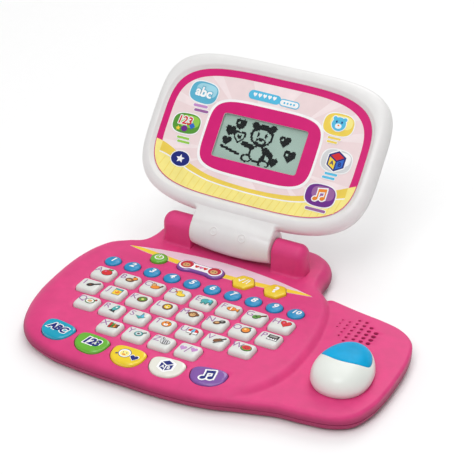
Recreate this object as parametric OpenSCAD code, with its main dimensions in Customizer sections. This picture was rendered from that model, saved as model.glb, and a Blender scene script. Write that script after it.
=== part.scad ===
// Toy laptop computer: a rounded pink base with letter keys and a captive mouse,
// and a white lid with a small screen on a barrel hinge.
// Origin: centre of the base's footprint on the table. +X to the user's right, +Y to the hinge, +Z up.
// All dimensions are in millimetres.

/* [Base] */
// Height of the keyboard panel above the table
panel_z = 20.5; // [20:0.1:21]
// Height of the flat wing that carries the mouse
wing_z = 15.6; // [15:0.1:16]
// Height of the joint between the top and bottom shells
parting_z = 7.6; // [7:0.1:8]
// Thickness of the moulded skins
skin = 2.4; // [2.2:0.1:2.5]
// Thickness of the rubber feet
foot_h = 1.2; // [1:0.1:1.4]

/* [Keys] */
// Distance between letter keys along a row
key_pitch_x = 23.5; // [23.2:0.1:23.8]
// Distance between the rows of letter keys
key_pitch_y = 21.6; // [21.4:0.1:21.8]
// Size of a letter key across the row
key_w = 19.6; // [18.6:0.1:19.8]
// Size of a letter key from front to back
key_d = 16.8; // [16:0.1:17]
// Height of the letter keys above the panel
key_proud = 3.5; // [3:0.1:4]
// Distance between number keys
number_pitch = 19; // [18.8:0.1:19.2]
// Radius of a number key
number_r = 7; // [7:0.1:7.8]
// Distance that every key goes down
key_travel = 1.8; // [1.2:0.1:1.9]
// Gap all round between a key and its opening
key_gap = 0.45; // [0.35:0.05:0.6]

/* [Hinge] */
// Distance of the hinge axis behind the origin
hinge_y = 72.5; // [72:0.5:73]
// Height of the hinge axis
hinge_z = 38; // [37.8:0.1:38.4]
// Radius of the round top of each knuckle
knuckle_r = 10; // [9.5:0.1:10.4]
// Length of the barrel between the knuckles
barrel_len = 75; // [74:0.5:75.4]
// Largest radius of the crowned barrel
barrel_r = 17; // [16.5:0.1:17.2]
// Radius of the barrel at its ends
barrel_end_r = 14; // [13.6:0.1:14.4]
// Radius of the hinge pins
pin_r = 3; // [2.6:0.1:3.2]

/* [Lid] */
// Angle of the open lid from the flat position, measured up from the table
lid_lean = 49.45; // [45:0.05:60]
// Half width of the lid
lid_a = 107.5; // [106:0.5:109]
// Half height of the lid
lid_b = 69; // [68:0.5:69.5]
// Distance from the hinge axis to the middle of the lid
lid_mid = 81.8; // [81.6:0.1:82.2]
// Distance from the hinge axis to the printed face
face_w = 12.15; // [12:0.05:12.3]
// Height of the rim above the printed face
rim_h = 2.5; // [2:0.1:2.6]
// Width of the liquid-crystal picture area
lcd_wide = 79.4; // [78:0.2:80]
// Height of the liquid-crystal picture area
lcd_high = 39; // [38:0.2:40]

/* [Mouse] */
// Place of the mouse, to the right of the origin
mouse_x = 121; // [119:0.5:121]
// Place of the mouse, behind the origin
mouse_y = -39; // [-39:0.5:-36]
// Half width of the mouse
mouse_a = 23.5; // [23:0.5:24]
// Half length of the mouse
mouse_b = 30; // [29:0.5:30]
// Height of the mouse above the wing
mouse_h = 22; // [20:0.5:23]
// Radius of the button's front edge
button_r = 26; // [25:0.5:27]
// Rim of the dome left around the button
button_rim = 3; // [2.6:0.1:3.2]
// Distance that the mouse moves each way
mouse_travel = 4; // [3:0.5:4]

/* [Hidden] */
$fn = 48;
LETTERS = "abcdefghijklmnopqrstuvwxyz";
LETTER_KEYS = concat([for (c = LETTERS) str("key_", c)], ["key_hearts"]);
CATEGORY_KEYS = ["key_words", "key_counting", "key_friends", "key_games", "key_music"];
FUNCTION_KEYS = ["key_power", "key_people", "key_answer", "key_question"];

PINK = [0.89, 0.30, 0.55];
WHITE = [0.92, 0.92, 0.91];
STEEL = [0.72, 0.73, 0.75];

// Control points of the raised keyboard part, anticlockwise: x, y and the width of its rounded edge
PEBBLE = [
    [-76, -113.5, 22], [-53, -114.5, 22], [-28, -114.5, 22], [-2, -114.5, 22], [24, -112.5, 20],
    [48, -108.5, 15], [65, -99, 11], [78, -83, 10], [86, -62, 10], [88.5, -38, 10], [87, -8, 10],
    [82, 18, 10], [75, 38, 9], [64, 54, 8], [55, 62, 8], [51.5, 74, 8], [50.5, 88, 9],
    [46, 101, 10], [36, 110.5, 12], [20, 115, 12], [-31, 115.5, 12], [-82, 115, 12],
    [-98, 110.5, 12], [-108, 101, 10], [-112.5, 88, 9], [-113.5, 74, 9], [-117, 63, 9],
    [-128, 58, 12], [-142, 49, 16], [-151, 33, 20], [-155.5, 10, 22], [-155.5, -20, 22],
    [-153, -45, 22], [-147, -68, 22], [-137, -88, 22], [-121, -102.5, 22], [-97, -111, 22]];
// Control points of the flat wing, which starts inside the raised part: x, y and its edge radius
WING = [
    [30, -90, 3], [54, -104.5, 3], [72, -99, 3], [92, -94, 3], [112, -92, 3], [133, -88, 3],
    [148, -78, 3], [155, -60, 3], [157, -40, 3], [157, -18, 3], [155.5, 4, 3], [151, 24, 3],
    [143.5, 35, 3], [132, 42.5, 3], [117, 46.5, 3], [98, 49.5, 3], [80, 53, 3], [60, 58, 3],
    [38, 56, 3], [26, 20, 3], [24, -40, 3]];
LOOP_STEPS = 3;
base_bottom = foot_h;
taper = 4;
lower_wall = 5;
upper_wall = 15;
panel_under = panel_z - skin;
wing_under = wing_z - skin;
floor_top = base_bottom + skin;
axis_x = -31;
key_x0 = -111.25;
key_y0 = -8;
key_flange = 1.1;
flange_top = panel_under - 0.1;
flange_bottom = flange_top - 1.2;
number_y = 14.1;
number_x0 = -116.1;
function_y = 35.5;
category_y = -97.6;
category_shift = -2.1;
category_pitch = 33.7;
category_w = 28.4;
category_d = 19.6;
category_bow = 435;
category_top = panel_z + 0.6;
category_tilt = 7;
category_flange_z = wing_under - 1;
knuckle_gap = 0.8;
knuckle_in = barrel_len / 2 + knuckle_gap;
knuckle_out = 65.5;
knuckle_round = 7;
knuckle_drop = 2.5;
bore_play = 0.05;
rim_w = face_w + rim_h;
split_w = 4;
back_w = -2;
panel_a = 95.5;
panel_b = 56;
panel_power = 3.8;
lid_power_top = 4.4;
lid_power_bottom = 3.5;
lcd_y = lid_mid - 2;
plate_h = 0.8;
window_h = 1.7;
mouse_low = wing_z + 0.4;
stem_r = 4;
carriage_z = wing_under - 2.8;
speaker_x = 104;
speaker_y = 22;
cell_r = 7.1;
cell_len = 50;
cell_pitch = 15.2;
cell_y = 84;
cell_z = floor_top + cell_r + 0.2;
boss_high = panel_under + 0.2;
boss_low = wing_under + 0.4;
// Case screws: x, y and the height to which the boss reaches
SCREWS = [
    [-138, 20, boss_high], [-130, -72, boss_low], [-90, -71, boss_high], [40, -71, boss_high],
    [140, -70, boss_low], [140, 20, boss_low], [40, 72, boss_high], [-102, 72, boss_high]];
COVER_SCREW = [-1.5, 84, boss_high];
LID_SCREWS = [[-88, 120], [88, 120], [-88, 45], [88, 45]];
FEET = [[0, 0], [-118, -88], [38, -98], [128, -78], [124, 34], [-95, 95], [33, 95], [-135, 32]];

// ---------- functions for smooth loops ----------
function at(L, i) = L[(i + len(L)) % len(L)];
function curve(a, b, c, d, t) =
    0.5 * (2 * b + (c - a) * t + (2 * a - 5 * b + 4 * c - d) * t * t + (3 * b - a - 3 * c + d) * t * t * t);
function smooth_loop(L) = [
    for (i = [0:len(L) - 1], k = [0:LOOP_STEPS - 1])
        curve(at(L, i - 1), at(L, i), at(L, i + 1), at(L, i + 2), k / LOOP_STEPS)];
function flat(p) = [p.x, p.y];
function inward(L, i) =
    let (t = flat(at(L, i + 1)) - flat(at(L, i - 1))) [-t.y, t.x] / norm(t);
function inset_by(L, d) = [for (i = [0:len(L) - 1]) flat(L[i]) + inward(L, i) * d];
function inset_edge(L, share) = [for (i = [0:len(L) - 1]) flat(L[i]) + inward(L, i) * L[i][2] * share];
// Rounded rectangle as a superellipse, with one power above its middle and one below
function super_loop(a, b, top_power, low_power, step = 3.75) = [
    for (t = [0:step:359])
        let (c = cos(t), s = sin(t), power = s > 0 ? top_power : low_power)
            [a * sign(c) * pow(abs(c), 2 / power), b * sign(s) * pow(abs(s), 2 / power)]];
function egg_loop(a, b, n) = [
    for (i = [0:n - 1])
        let (t = 360 * i / n) [a * cos(t) * (1 - 0.1 * sin(t)), b * sin(t)]];
function shifted(L, v) = [for (p = L) p + v];

// Solid through a stack of loops with the same number of points; each ring is [loop, height]
module loft(rings) {
    n = len(rings[0][0]);
    last = len(rings) - 1;
    polyhedron(
        points = [for (r = rings, p = r[0]) [p.x, p.y, r[1]]],
        faces = concat(
            [[for (i = [0:n - 1]) i]],
            [for (k = [0:last - 1], i = [0:n - 1])
                [k * n + i, (k + 1) * n + i, (k + 1) * n + (i + 1) % n, k * n + (i + 1) % n]],
            [[for (i = [n - 1:-1:0]) last * n + i]]));
}

module at_hinge() {
    translate([axis_x, hinge_y, hinge_z]) children();
}

// Lid frame: x along the hinge, y up the lid, z out of its face
module lid_frame() {
    at_hinge() rotate([lid_lean, 0, 0]) children();
}

module along_x() {
    rotate([0, 90, 0]) children();
}

module rounded(w, d, r) {
    union() {
        square([w - 2 * r, d], center = true);
        square([w, d - 2 * r], center = true);
        for (sx = [-1, 1], sy = [-1, 1]) translate([sx * (w / 2 - r), sy * (d / 2 - r)]) circle(r);
    }
}

// ---------- outlines of the base ----------
pebble_loop = smooth_loop(PEBBLE);
wing_loop = smooth_loop(WING);

module base_plan(d) {
    polygon(inset_by(pebble_loop, d));
    polygon(inset_by(wing_loop, d));
}

// The keyboard part: rounded all round, and cut flat at the panel's height
module pebble_top() {
    crown = panel_z + 0.15 - parting_z;
    difference() {
        loft([for (t = [0, 20, 38, 56, 74, 90])
            [inset_edge(pebble_loop, 1 - cos(t)), parting_z + crown * sin(t)]]);
        translate([-200, -200, panel_z]) cube([400, 400, 10]);
    }
}

module wing_top() {
    edge = WING[0][2];
    loft(concat(
        [[inset_by(wing_loop, 0), parting_z]],
        [for (t = [0, 30, 60, 90]) [inset_edge(wing_loop, 1 - cos(t)), wing_z - edge + edge * sin(t)]]));
}

module tapered_bottom(L) {
    loft([
        [inset_by(L, taper), base_bottom],
        [inset_by(L, taper * 0.55), base_bottom + 1],
        [inset_by(L, 0), parting_z]]);
}

// ---------- key places ----------
function key_row(i) = i < 8 ? 0 : i < 16 ? 1 : i < 23 ? 2 : 3;
function key_place(i) =
    let (row = key_row(i), first = [0, 8, 16, 23][row], indent = [0, 0, 0.5, 2][row])
        [key_x0 + (i - first + indent) * key_pitch_x, key_y0 - row * key_pitch_y];
function number_place(i) = [number_x0 + i * number_pitch, number_y];
function category_x(i) = (i - 2) * category_pitch;
function category_place(i) =
    [axis_x + category_shift + category_x(i), category_y + pow(category_x(i), 2) / (2 * category_bow)];
function category_turn(i) = atan(category_x(i) / category_bow);
FUNCTION_PLACES = [[-84, function_y], [-44.5, 36.5], [-3.5, function_y], [25.5, function_y]];

// ---------- key outlines ----------
module letter_outline(grow = 0) {
    rounded(key_w + 2 * grow, key_d + 2 * grow, 3.6 + grow);
}

// Rounded trapezoid, wider at the back
module category_outline(grow = 0) {
    depth = category_d / 2;
    polygon([for (p = super_loop(category_w / 2 + grow, depth + grow, 3.2, 2.5, 10))
        [p.x * (1 + 0.09 * p.y / depth), p.y]]);
}

module function_outline(kind, grow = 0) {
    if (kind == 0) circle(number_r + grow);
    if (kind == 1) union() {
        for (sx = [-1, 1]) translate([sx * 13.6, 0]) circle(8.2 + grow);
        square([27, 12 + 2 * grow], center = true);
    }
    if (kind > 1) circle(10.4 + grow, $fn = 6);
}

// ---------- keys ----------
// A key: a flange that holds it under the panel, a straight shank and a crowned top
module key_solid(proud, crown_scale) {
    translate([0, 0, flange_bottom]) linear_extrude(flange_top - flange_bottom) children(0);
    translate([0, 0, flange_bottom]) linear_extrude(panel_z + proud * 0.45 - flange_bottom) children(1);
    translate([0, 0, panel_z + proud * 0.45])
        linear_extrude(proud * 0.55, scale = crown_scale) children(1);
}

module letter_key(i) {
    color(WHITE) translate(key_place(i)) key_solid(key_proud, 0.84) {
        letter_outline(key_flange, $fn = 12);
        letter_outline(0, $fn = 12);
    }
}

CATEGORY_COLORS = [
    [0.02, 0.65, 0.76], [0.5, 0.72, 0.24], [0.92, 0.8, 0.18], [0.91, 0.91, 0.86], [0.5, 0.33, 0.64]];
module category_key(i) {
    color(CATEGORY_COLORS[i]) translate(category_place(i)) rotate([0, 0, category_turn(i)]) {
        translate([0, 0, category_flange_z]) linear_extrude(0.9) category_outline(key_flange);
        difference() {
            translate([0, 0, category_flange_z]) linear_extrude(panel_z + 4 - category_flange_z)
                category_outline();
            translate([0, 0, category_top]) rotate([category_tilt, 0, 0]) translate([-25, -25, 0])
                cube([50, 50, 20]);
        }
    }
}

FUNCTION_COLORS = [[0.5, 0.75, 0.24], [0.5, 0.25, 0.65], [0.92, 0.8, 0.18], [0.92, 0.8, 0.18]];
module function_key(i) {
    color(FUNCTION_COLORS[i]) translate(FUNCTION_PLACES[i]) key_solid(2, 0.88) {
        function_outline(i, key_flange, $fn = 24);
        function_outline(i, 0, $fn = 24);
    }
}

// Five round caps on one springy runner under the panel
module number_strip(first) {
    dome_r = (number_r * number_r + 4) / 4;
    color([0.23, 0.61, 0.77]) {
        for (i = [first:first + 4]) translate(number_place(i)) {
            translate([0, 0, flange_bottom]) cylinder(r = number_r, h = panel_z - flange_bottom);
            intersection() {
                translate([0, 0, panel_z + 2 - dome_r]) sphere(dome_r, $fn = 64);
                translate([0, 0, panel_z]) cylinder(r = number_r, h = 3);
            }
        }
        translate([number_place(first).x, number_y - 3, flange_bottom])
            cube([4 * number_pitch, 6, flange_top - flange_bottom]);
    }
}

// ---------- base ----------
module key_openings() {
    h = skin + 2;
    translate([0, 0, panel_under - 1]) {
        for (i = [0:26]) translate(key_place(i)) linear_extrude(h) letter_outline(key_gap, $fn = 12);
        for (i = [0:9]) translate(number_place(i)) cylinder(r = number_r + key_gap, h = h);
        for (i = [0:3]) translate(FUNCTION_PLACES[i])
            linear_extrude(h) function_outline(i, key_gap, $fn = 24);
    }
    for (i = [0:4]) translate(concat(category_place(i), wing_under - 1)) rotate([0, 0, category_turn(i)])
        linear_extrude(panel_z) category_outline(key_gap);
}

// Rows of sound holes that grow from left to right: first and last row in each column
SOUND_COLUMNS = [[0, 2], [-2, 2], [-3, 3], [-3, 3], [-3, 2], [-2, 1]];
module sound_holes() {
    for (i = [0:5], j = [SOUND_COLUMNS[i][0]:SOUND_COLUMNS[i][1]])
        translate([88 + 6.25 * i, 21 + 5.25 * j, wing_under - 1])
            cylinder(r = 0.6 + 0.22 * i, h = skin + 2, $fn = 20);
}

module knuckle(side) {
    length = knuckle_out - knuckle_in;
    at_hinge() rotate([0, 0, side > 0 ? 0 : 180]) translate([knuckle_in, 0, -knuckle_drop]) {
        along_x() rotate_extrude() union() {
            square([knuckle_r, length - knuckle_round]);
            square([knuckle_r - knuckle_round, length]);
            translate([knuckle_r - knuckle_round, length - knuckle_round]) intersection() {
                circle(knuckle_round);
                square(knuckle_round);
            }
        }
        translate([0, 0, panel_under + knuckle_drop - hinge_z])
            linear_extrude(hinge_z - knuckle_drop - panel_under) union() {
            translate([0, -knuckle_r]) square([length - knuckle_round, 2 * knuckle_r]);
            translate([0, knuckle_round - knuckle_r]) square([length, 2 * (knuckle_r - knuckle_round)]);
            for (s = [-1, 1]) translate([length - knuckle_round, s * (knuckle_r - knuckle_round)])
                circle(knuckle_round);
        }
    }
}

module top_outside() {
    pebble_top();
    wing_top();
    for (side = [-1, 1]) knuckle(side);
}

module top_inside() {
    translate([0, 0, parting_z - 1]) linear_extrude(wing_under - parting_z + 1) base_plan(lower_wall);
    translate([0, 0, wing_under - 1]) linear_extrude(panel_under - wing_under + 1) {
        polygon(inset_by(pebble_loop, upper_wall));
        translate([axis_x, cell_y]) rounded(cell_len + 6, 3 * cell_pitch + 2, 2);
    }
}

module screw_bosses() {
    for (p = SCREWS) translate([p.x, p.y, floor_top + 0.1]) cylinder(r = 3.4, h = p[2] - floor_top - 0.1);
    translate([COVER_SCREW.x, COVER_SCREW.y, floor_top + 0.1])
        cylinder(r = 2.6, h = boss_high - floor_top - 0.1);
}

module base_top_shell() {
    pin_hole = pin_r + 0.02;
    color(PINK) difference() {
        union() {
            difference() {
                top_outside();
                top_inside();
                key_openings();
                sound_holes();
                translate([mouse_x - 9, mouse_y - 9, wing_under - 1]) cube([18, 18, skin + 2]);
                at_hinge() translate([-knuckle_in, 0, 0]) along_x()
                    cylinder(r = barrel_r + 1.2, h = 2 * knuckle_in);
            }
            screw_bosses();
            for (s = [-1, 1]) translate([mouse_x - 13, mouse_y + s * 17.4 - 1, wing_under - 3])
                cube([26, 2, 3.2]);
        }
        for (p = concat(SCREWS, [COVER_SCREW])) translate([p.x, p.y, floor_top]) cylinder(r = 1.2, h = 8);
        for (s = [-1, 1]) at_hinge() translate([s * (knuckle_in + 8), 0, 0]) along_x()
            cylinder(r = pin_hole, h = 16.2, center = true);
    }
}

COVER_W = 66;
COVER_D = 50;
module base_bottom_shell() {
    color(PINK) difference() {
        union() {
            tapered_bottom(pebble_loop);
            tapered_bottom(wing_loop);
        }
        translate([0, 0, floor_top]) linear_extrude(parting_z) base_plan(lower_wall + 1.5);
        translate([axis_x, cell_y, 0]) linear_extrude(parting_z) rounded(COVER_W, COVER_D, 3);
        for (p = SCREWS) translate([p.x, p.y, 0]) {
            cylinder(r = 1.6, h = parting_z);
            cylinder(r = 3.2, h = base_bottom + 1.2);
        }
    }
}

module battery_cover() {
    color(PINK) difference() {
        translate([axis_x, cell_y, base_bottom]) linear_extrude(skin)
            rounded(COVER_W - 0.6, COVER_D - 0.6, 2.7);
        for (k = [0:5]) translate([axis_x - 12, cell_y - 19 + k * 1.8, 0])
            cube([24, 0.9, base_bottom + 0.6]);
        translate([COVER_SCREW.x, COVER_SCREW.y, 0]) {
            cylinder(r = 1.6, h = parting_z);
            cylinder(r = 3, h = base_bottom + 1.2);
        }
    }
}

// Printed crescent behind the number keys, with holes for the four function keys
module console_label() {
    half = 86.5;
    function bow(rise, s) = [
        for (k = [0:12]) let (u = s * (k / 6 - 1)) [axis_x + half * u, 43 + rise * (1 - u * u)]];
    color([0.96, 0.85, 0.88]) translate([0, 0, panel_z]) linear_extrude(0.3) difference() {
        polygon(concat(bow(-9, 1), bow(12.5, -1)));
        for (i = [0:3]) translate(FUNCTION_PLACES[i]) function_outline(i, key_gap, $fn = 24);
    }
}

BOARD_Z = 7.9;
MAT_Z = BOARD_Z + 1.5;
module main_board() {
    color([0.1, 0.4, 0.2]) difference() {
        for (part = [[-132, -84, 198, 132], [-98, -102, 136, 20]])
            translate([part[0], part[1], BOARD_Z]) cube([part[2], part[3], 1.5]);
        for (p = SCREWS) translate([p.x, p.y, BOARD_Z - 1]) cylinder(r = 4.2, h = 4);
    }
    color([0.1, 0.1, 0.1]) translate([-50, -60, BOARD_Z - 2]) cube([22, 22, 2]);
}

// Rubber sheet with one soft dome under each key
module key_mat() {
    dome_top = flange_bottom - key_travel - 0.1;
    color([0.75, 0.76, 0.78]) difference() {
        union() {
            for (part = [[-130, -82, 194, 128], [-96, -100, 132, 20]])
                translate([part[0], part[1], MAT_Z]) cube([part[2], part[3], 0.9]);
            for (i = [0:26]) translate(concat(key_place(i), MAT_Z + 0.5))
                cylinder(r = 3, h = dome_top - MAT_Z - 0.5);
            for (i = [0:9]) translate(concat(number_place(i), MAT_Z + 0.5))
                cylinder(r = 2.4, h = dome_top - MAT_Z - 0.5);
            for (i = [0:3]) translate(concat(FUNCTION_PLACES[i], MAT_Z + 0.5))
                cylinder(r = 3, h = dome_top - MAT_Z - 0.5);
        }
        for (p = SCREWS) translate([p.x, p.y, MAT_Z - 1]) cylinder(r = 4.2, h = 9);
    }
}

module speaker() {
    color([0.15, 0.15, 0.16]) translate([speaker_x, speaker_y, 0]) {
        translate([0, 0, wing_under - 3.4]) cylinder(r = 19, h = 3.2);
        translate([0, 0, wing_under - 6.4]) cylinder(r1 = 10, r2 = 17, h = 3.2);
        translate([0, 0, wing_under - 9]) cylinder(r = 9, h = 3);
    }
}

module batteries() {
    color([0.75, 0.6, 0.25]) for (k = [-1:1])
        translate([axis_x - cell_len / 2, cell_y + k * cell_pitch, cell_z]) {
        along_x() cylinder(r = cell_r, h = cell_len - 1.2);
        along_x() cylinder(r = 2.6, h = cell_len);
    }
}

module battery_contacts() {
    color(STEEL) for (s = [-1, 1], k = [-1:1])
        translate([axis_x + s * (cell_len / 2 + 0.5) - 0.25, cell_y + k * cell_pitch - 5, cell_z - 5])
            cube([0.5, 10, 10]);
}

module base_screws() {
    color(STEEL) for (p = concat(SCREWS, [COVER_SCREW])) translate([p.x, p.y, base_bottom]) {
        translate([0, 0, 0.2]) cylinder(r = 2.8, h = 1);
        cylinder(r = 1.15, h = 8.5);
    }
}

module feet() {
    color([0.25, 0.25, 0.27]) for (p = FEET) translate(p) cylinder(r = 5, h = foot_h);
}

module hinge_pins() {
    color(STEEL) for (s = [-1, 1]) at_hinge() translate([s * (knuckle_in + 3), 0, 0]) along_x()
        cylinder(r = pin_r, h = 25.6, center = true);
}

// ---------- lid ----------
function lid_ring(e, w) =
    [shifted(super_loop(lid_a - e, lid_b - e, lid_power_top, lid_power_bottom), [0, lid_mid]), w];
function panel_ring(e, w) =
    [shifted(super_loop(panel_a + e, panel_b + e, panel_power, panel_power), [0, lid_mid]), w];

module barrel() {
    sag = barrel_r - barrel_end_r;
    half = barrel_len / 2;
    color(WHITE) translate([-half, 0, 0]) along_x() rotate_extrude() polygon(concat(
        [[0, 0], [barrel_end_r - 1.5, 0]],
        [for (k = [-11:11]) [barrel_r - sag * pow(k / 12, 2), half * (1 + k / 11.2)]],
        [[barrel_end_r - 1.5, barrel_len], [0, barrel_len]]));
}

// Shallow dish in the lid's face that holds the printed plate
module panel_recess() {
    loft([panel_ring(0, face_w - plate_h), panel_ring(0, face_w), panel_ring(3.5, rim_w + 0.2)]);
}

module lid_front_shell() {
    floor_w = face_w - plate_h - 2.2;
    color(WHITE) lid_frame() difference() {
        union() {
            difference() {
                loft([
                    lid_ring(0, split_w), lid_ring(0, split_w + 3), lid_ring(0.8, split_w + 6),
                    lid_ring(2.6, rim_w - 1.9), lid_ring(5.5, rim_w - 0.4), lid_ring(8, rim_w)]);
                translate([0, 0, split_w - 1]) linear_extrude(floor_w - split_w + 1)
                    polygon(lid_ring(3, 0)[0]);
                panel_recess();
            }
            for (p = LID_SCREWS) translate([p.x, p.y, back_w + 2.6])
                cylinder(r = 3.2, h = floor_w - back_w - 2.2);
            difference() {
                translate([-barrel_len / 2, 0, split_w]) cube([barrel_len, 22, face_w + 1.3 - split_w]);
                translate([-50, 16, split_w - 1]) cube([100, 10, floor_w - split_w + 1]);
                panel_recess();
            }
            barrel();
        }
        translate([0, lcd_y, floor_w - 1]) linear_extrude(window_h + 3)
            rounded(lcd_wide + 7, lcd_high + 6.6, 2);
        for (p = LID_SCREWS) translate([p.x, p.y, back_w]) cylinder(r = 1.2, h = 9);
        translate([-barrel_len / 2 - 1, 0, 0]) along_x() cylinder(r = pin_r + bore_play, h = 12);
        translate([barrel_len / 2 - 11, 0, 0]) along_x() cylinder(r = pin_r + bore_play, h = 12);
    }
}

module lid_back_shell() {
    color(WHITE) lid_frame() difference() {
        loft([
            lid_ring(7, back_w), lid_ring(3.5, back_w + 0.9),
            lid_ring(1.2, back_w + 2.6), lid_ring(0, split_w)]);
        difference() {
            translate([0, 0, back_w + skin]) linear_extrude(split_w) polygon(lid_ring(4.5, 0)[0]);
            translate([-41, 0, back_w]) cube([82, 21, 8]);
        }
        translate([-barrel_len / 2 - 0.4, -20, back_w - 1]) cube([barrel_len + 0.8, 37.6, 8]);
        for (p = LID_SCREWS) translate([p.x, p.y, back_w - 1]) {
            cylinder(r = 1.6, h = 6);
            cylinder(r = 3, h = 2.2);
        }
    }
}

module lid_faceplate() {
    color([0.96, 0.87, 0.89]) lid_frame() translate([0, 0, face_w - plate_h])
        linear_extrude(plate_h) difference() {
            polygon(panel_ring(-0.2, 0)[0]);
            translate([0, lcd_y]) rounded(lcd_wide, lcd_high, 1);
        }
}

module screen_window() {
    color([0.8, 0.85, 0.85]) lid_frame() translate([0, lcd_y, face_w - plate_h - window_h])
        linear_extrude(window_h) rounded(lcd_wide + 6.4, lcd_high + 6, 1.7);
}

module lcd_module() {
    lcd_top = face_w - plate_h - window_h - 0.1;
    color([0.63, 0.7, 0.68]) lid_frame() translate([0, lcd_y, 0]) {
        translate([0, 0, lcd_top - 2.4]) linear_extrude(2.4) rounded(lcd_wide + 6, lcd_high + 5.6, 1.5);
        translate([-46, -27, lcd_top - 6.4]) cube([92, 54, 1.6]);
        for (s = [-1, 1]) translate([s * 30 - 3, -20, lcd_top - 5]) cube([6, 40, 2.8]);
    }
}

module lid_screws() {
    color(STEEL) lid_frame() for (p = LID_SCREWS) translate([p.x, p.y, back_w]) {
        translate([0, 0, 0.2]) cylinder(r = 2.7, h = 0.9);
        cylinder(r = 1.15, h = 8);
    }
}

// ---------- mouse ----------
// Rings of the egg-shaped dome, widest a little above its lower edge, made smaller by d
function dome_rings(d) = [
    for (t = [-14, -5, 6, 18, 31, 45, 59, 72, 83])
        let (belly = 5, c = pow(cos(t), 0.72))
            [egg_loop((mouse_a - d) * c, (mouse_b - d) * c, 56),
             mouse_low + (t < 0
                 ? belly * (1 + t / 14)
                 : belly + (mouse_h - 0.4 - belly - d) * sin(t) / sin(83))]];

module at_mouse() {
    translate([mouse_x, mouse_y, 0]) children();
}

module mouse_dome() {
    loft(dome_rings(0));
}

// Plan of the button: the far part of the dome inside a thin rim
module button_plan(grow = 0) {
    intersection() {
        polygon(egg_loop(mouse_a - button_rim + grow, mouse_b - button_rim + grow, 56));
        translate([0, button_r - 10]) circle(button_r + grow, $fn = 96);
    }
}

module mouse_body() {
    color(WHITE) at_mouse() difference() {
        mouse_dome();
        difference() {
            loft(dome_rings(2.2));
            translate([-30, 0.5, 0]) cube([60, 2, 60]);
        }
        translate([0, 0, mouse_low + 7]) linear_extrude(40) button_plan(0.3);
        translate([0, 0, mouse_low - 1]) linear_extrude(2.8)
            polygon(egg_loop(mouse_a - 3, mouse_b - 3.4, 56));
    }
}

module mouse_button() {
    color([0.2, 0.72, 0.9]) at_mouse() intersection() {
        mouse_dome();
        translate([0, 0, mouse_low + 9.2]) linear_extrude(40) button_plan(0);
    }
}

module mouse_base() {
    color(WHITE) at_mouse() {
        translate([0, 0, mouse_low]) linear_extrude(1.6) polygon(egg_loop(mouse_a - 3.3, mouse_b - 3.7, 56));
        translate([0, 0, carriage_z - 1.6]) cylinder(r = stem_r, h = mouse_low + 2.1 - carriage_z);
        translate([0, 0, carriage_z - 1.6]) cylinder(r = 7.5, h = 1.4);
    }
}

// Slider under the wing: the mouse's stem runs in its slot, and it runs between two ribs
module mouse_carriage() {
    color([0.3, 0.3, 0.32]) at_mouse() translate([0, 0, carriage_z]) linear_extrude(2.6) difference() {
        square([22, 32], center = true);
        rounded(2 * stem_r + 0.6, 2 * (stem_r + mouse_travel) + 0.8, stem_r);
    }
}

// ---------- output ----------
base_top_shell();
base_bottom_shell();
battery_cover();
console_label();
main_board();
key_mat();
speaker();
batteries();
battery_contacts();
base_screws();
feet();
hinge_pins();
lid_front_shell();
lid_back_shell();
lid_faceplate();
screen_window();
lcd_module();
lid_screws();
mouse_body();
mouse_button();
mouse_base();
mouse_carriage();
number_strip(0);  // number_keys_left
number_strip(5);  // number_keys_right
for (i = [0:26]) letter_key(i);
for (i = [0:4]) category_key(i);
for (i = [0:3]) function_key(i);
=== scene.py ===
"""Toy laptop computer, seen open. Lengths are in millimetres until a mesh is made."""

import math

import bmesh
import bpy
import numpy as np
from mathutils import Matrix, Vector
from mathutils.geometry import delaunay_2d_cdt, tessellate_polygon


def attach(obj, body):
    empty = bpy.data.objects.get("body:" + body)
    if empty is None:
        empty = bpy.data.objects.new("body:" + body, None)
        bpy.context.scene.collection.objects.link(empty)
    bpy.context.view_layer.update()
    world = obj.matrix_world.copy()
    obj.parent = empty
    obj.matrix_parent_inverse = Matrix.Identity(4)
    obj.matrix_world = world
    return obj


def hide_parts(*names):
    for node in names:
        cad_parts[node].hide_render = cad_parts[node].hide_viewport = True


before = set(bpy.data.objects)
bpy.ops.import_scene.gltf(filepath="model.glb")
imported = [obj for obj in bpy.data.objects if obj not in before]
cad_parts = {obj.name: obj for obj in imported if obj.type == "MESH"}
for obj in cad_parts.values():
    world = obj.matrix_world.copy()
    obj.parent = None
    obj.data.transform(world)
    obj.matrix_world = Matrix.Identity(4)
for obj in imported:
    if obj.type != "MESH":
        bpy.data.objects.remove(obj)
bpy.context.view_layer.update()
MM = 0.001

# ---------- sizes shared with the CAD frame ----------
PANEL_Z = 20.5
WING_Z = 15.6
PARTING_Z = 7.6
BOTTOM_Z = 1.2
FLOOR_Z = 3.6
SKIN = 2.4
AXIS = (-31.0, 72.5, 38.0)
FLANGE = (16.8, 18.0)
KEY_GAP = 0.45
LID_MID = 81.8
FACE_W = 12.15
LCD_V = 79.8
LAYER = 0.06
FINE_LAYER = 0.03
MOUSE = (121.0, -39.0)
MOUSE_LOW = 16.0
MOUSE_SHIFT = 0.7
MOUSE_RISE = 16.6
EGG_HALF = (22.8, 30.0)
EGG_NEAR_POWER = 2.15
EGG_TAPER = 0.1
BUTTON_HALF = (20.0, 27.0)
BUTTON_R = 26.0
BUTTON_Y = 16.0
TROUGH_R = 18.2
KNUCKLE_IN = 38.3
KNUCKLE_OUT = 67.5
KNUCKLE_R = 10.0
KNUCKLE_Z = 36.6
BARREL_HALF = 37.5
BARREL_R = 17.0
BARREL_CROWN = 3.1
LID_LEAN = 49.45
LID_HALF = (107.5, 69.0)
LID_POWERS = (4.4, 3.5)
RIM_LOW = 7.0
RIM_RISE = 7.65
PANEL_HALF = (95.5, 56.0)
PANEL_POWER = 3.8
SCREEN_HALF = (39.7, 19.5)
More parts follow.
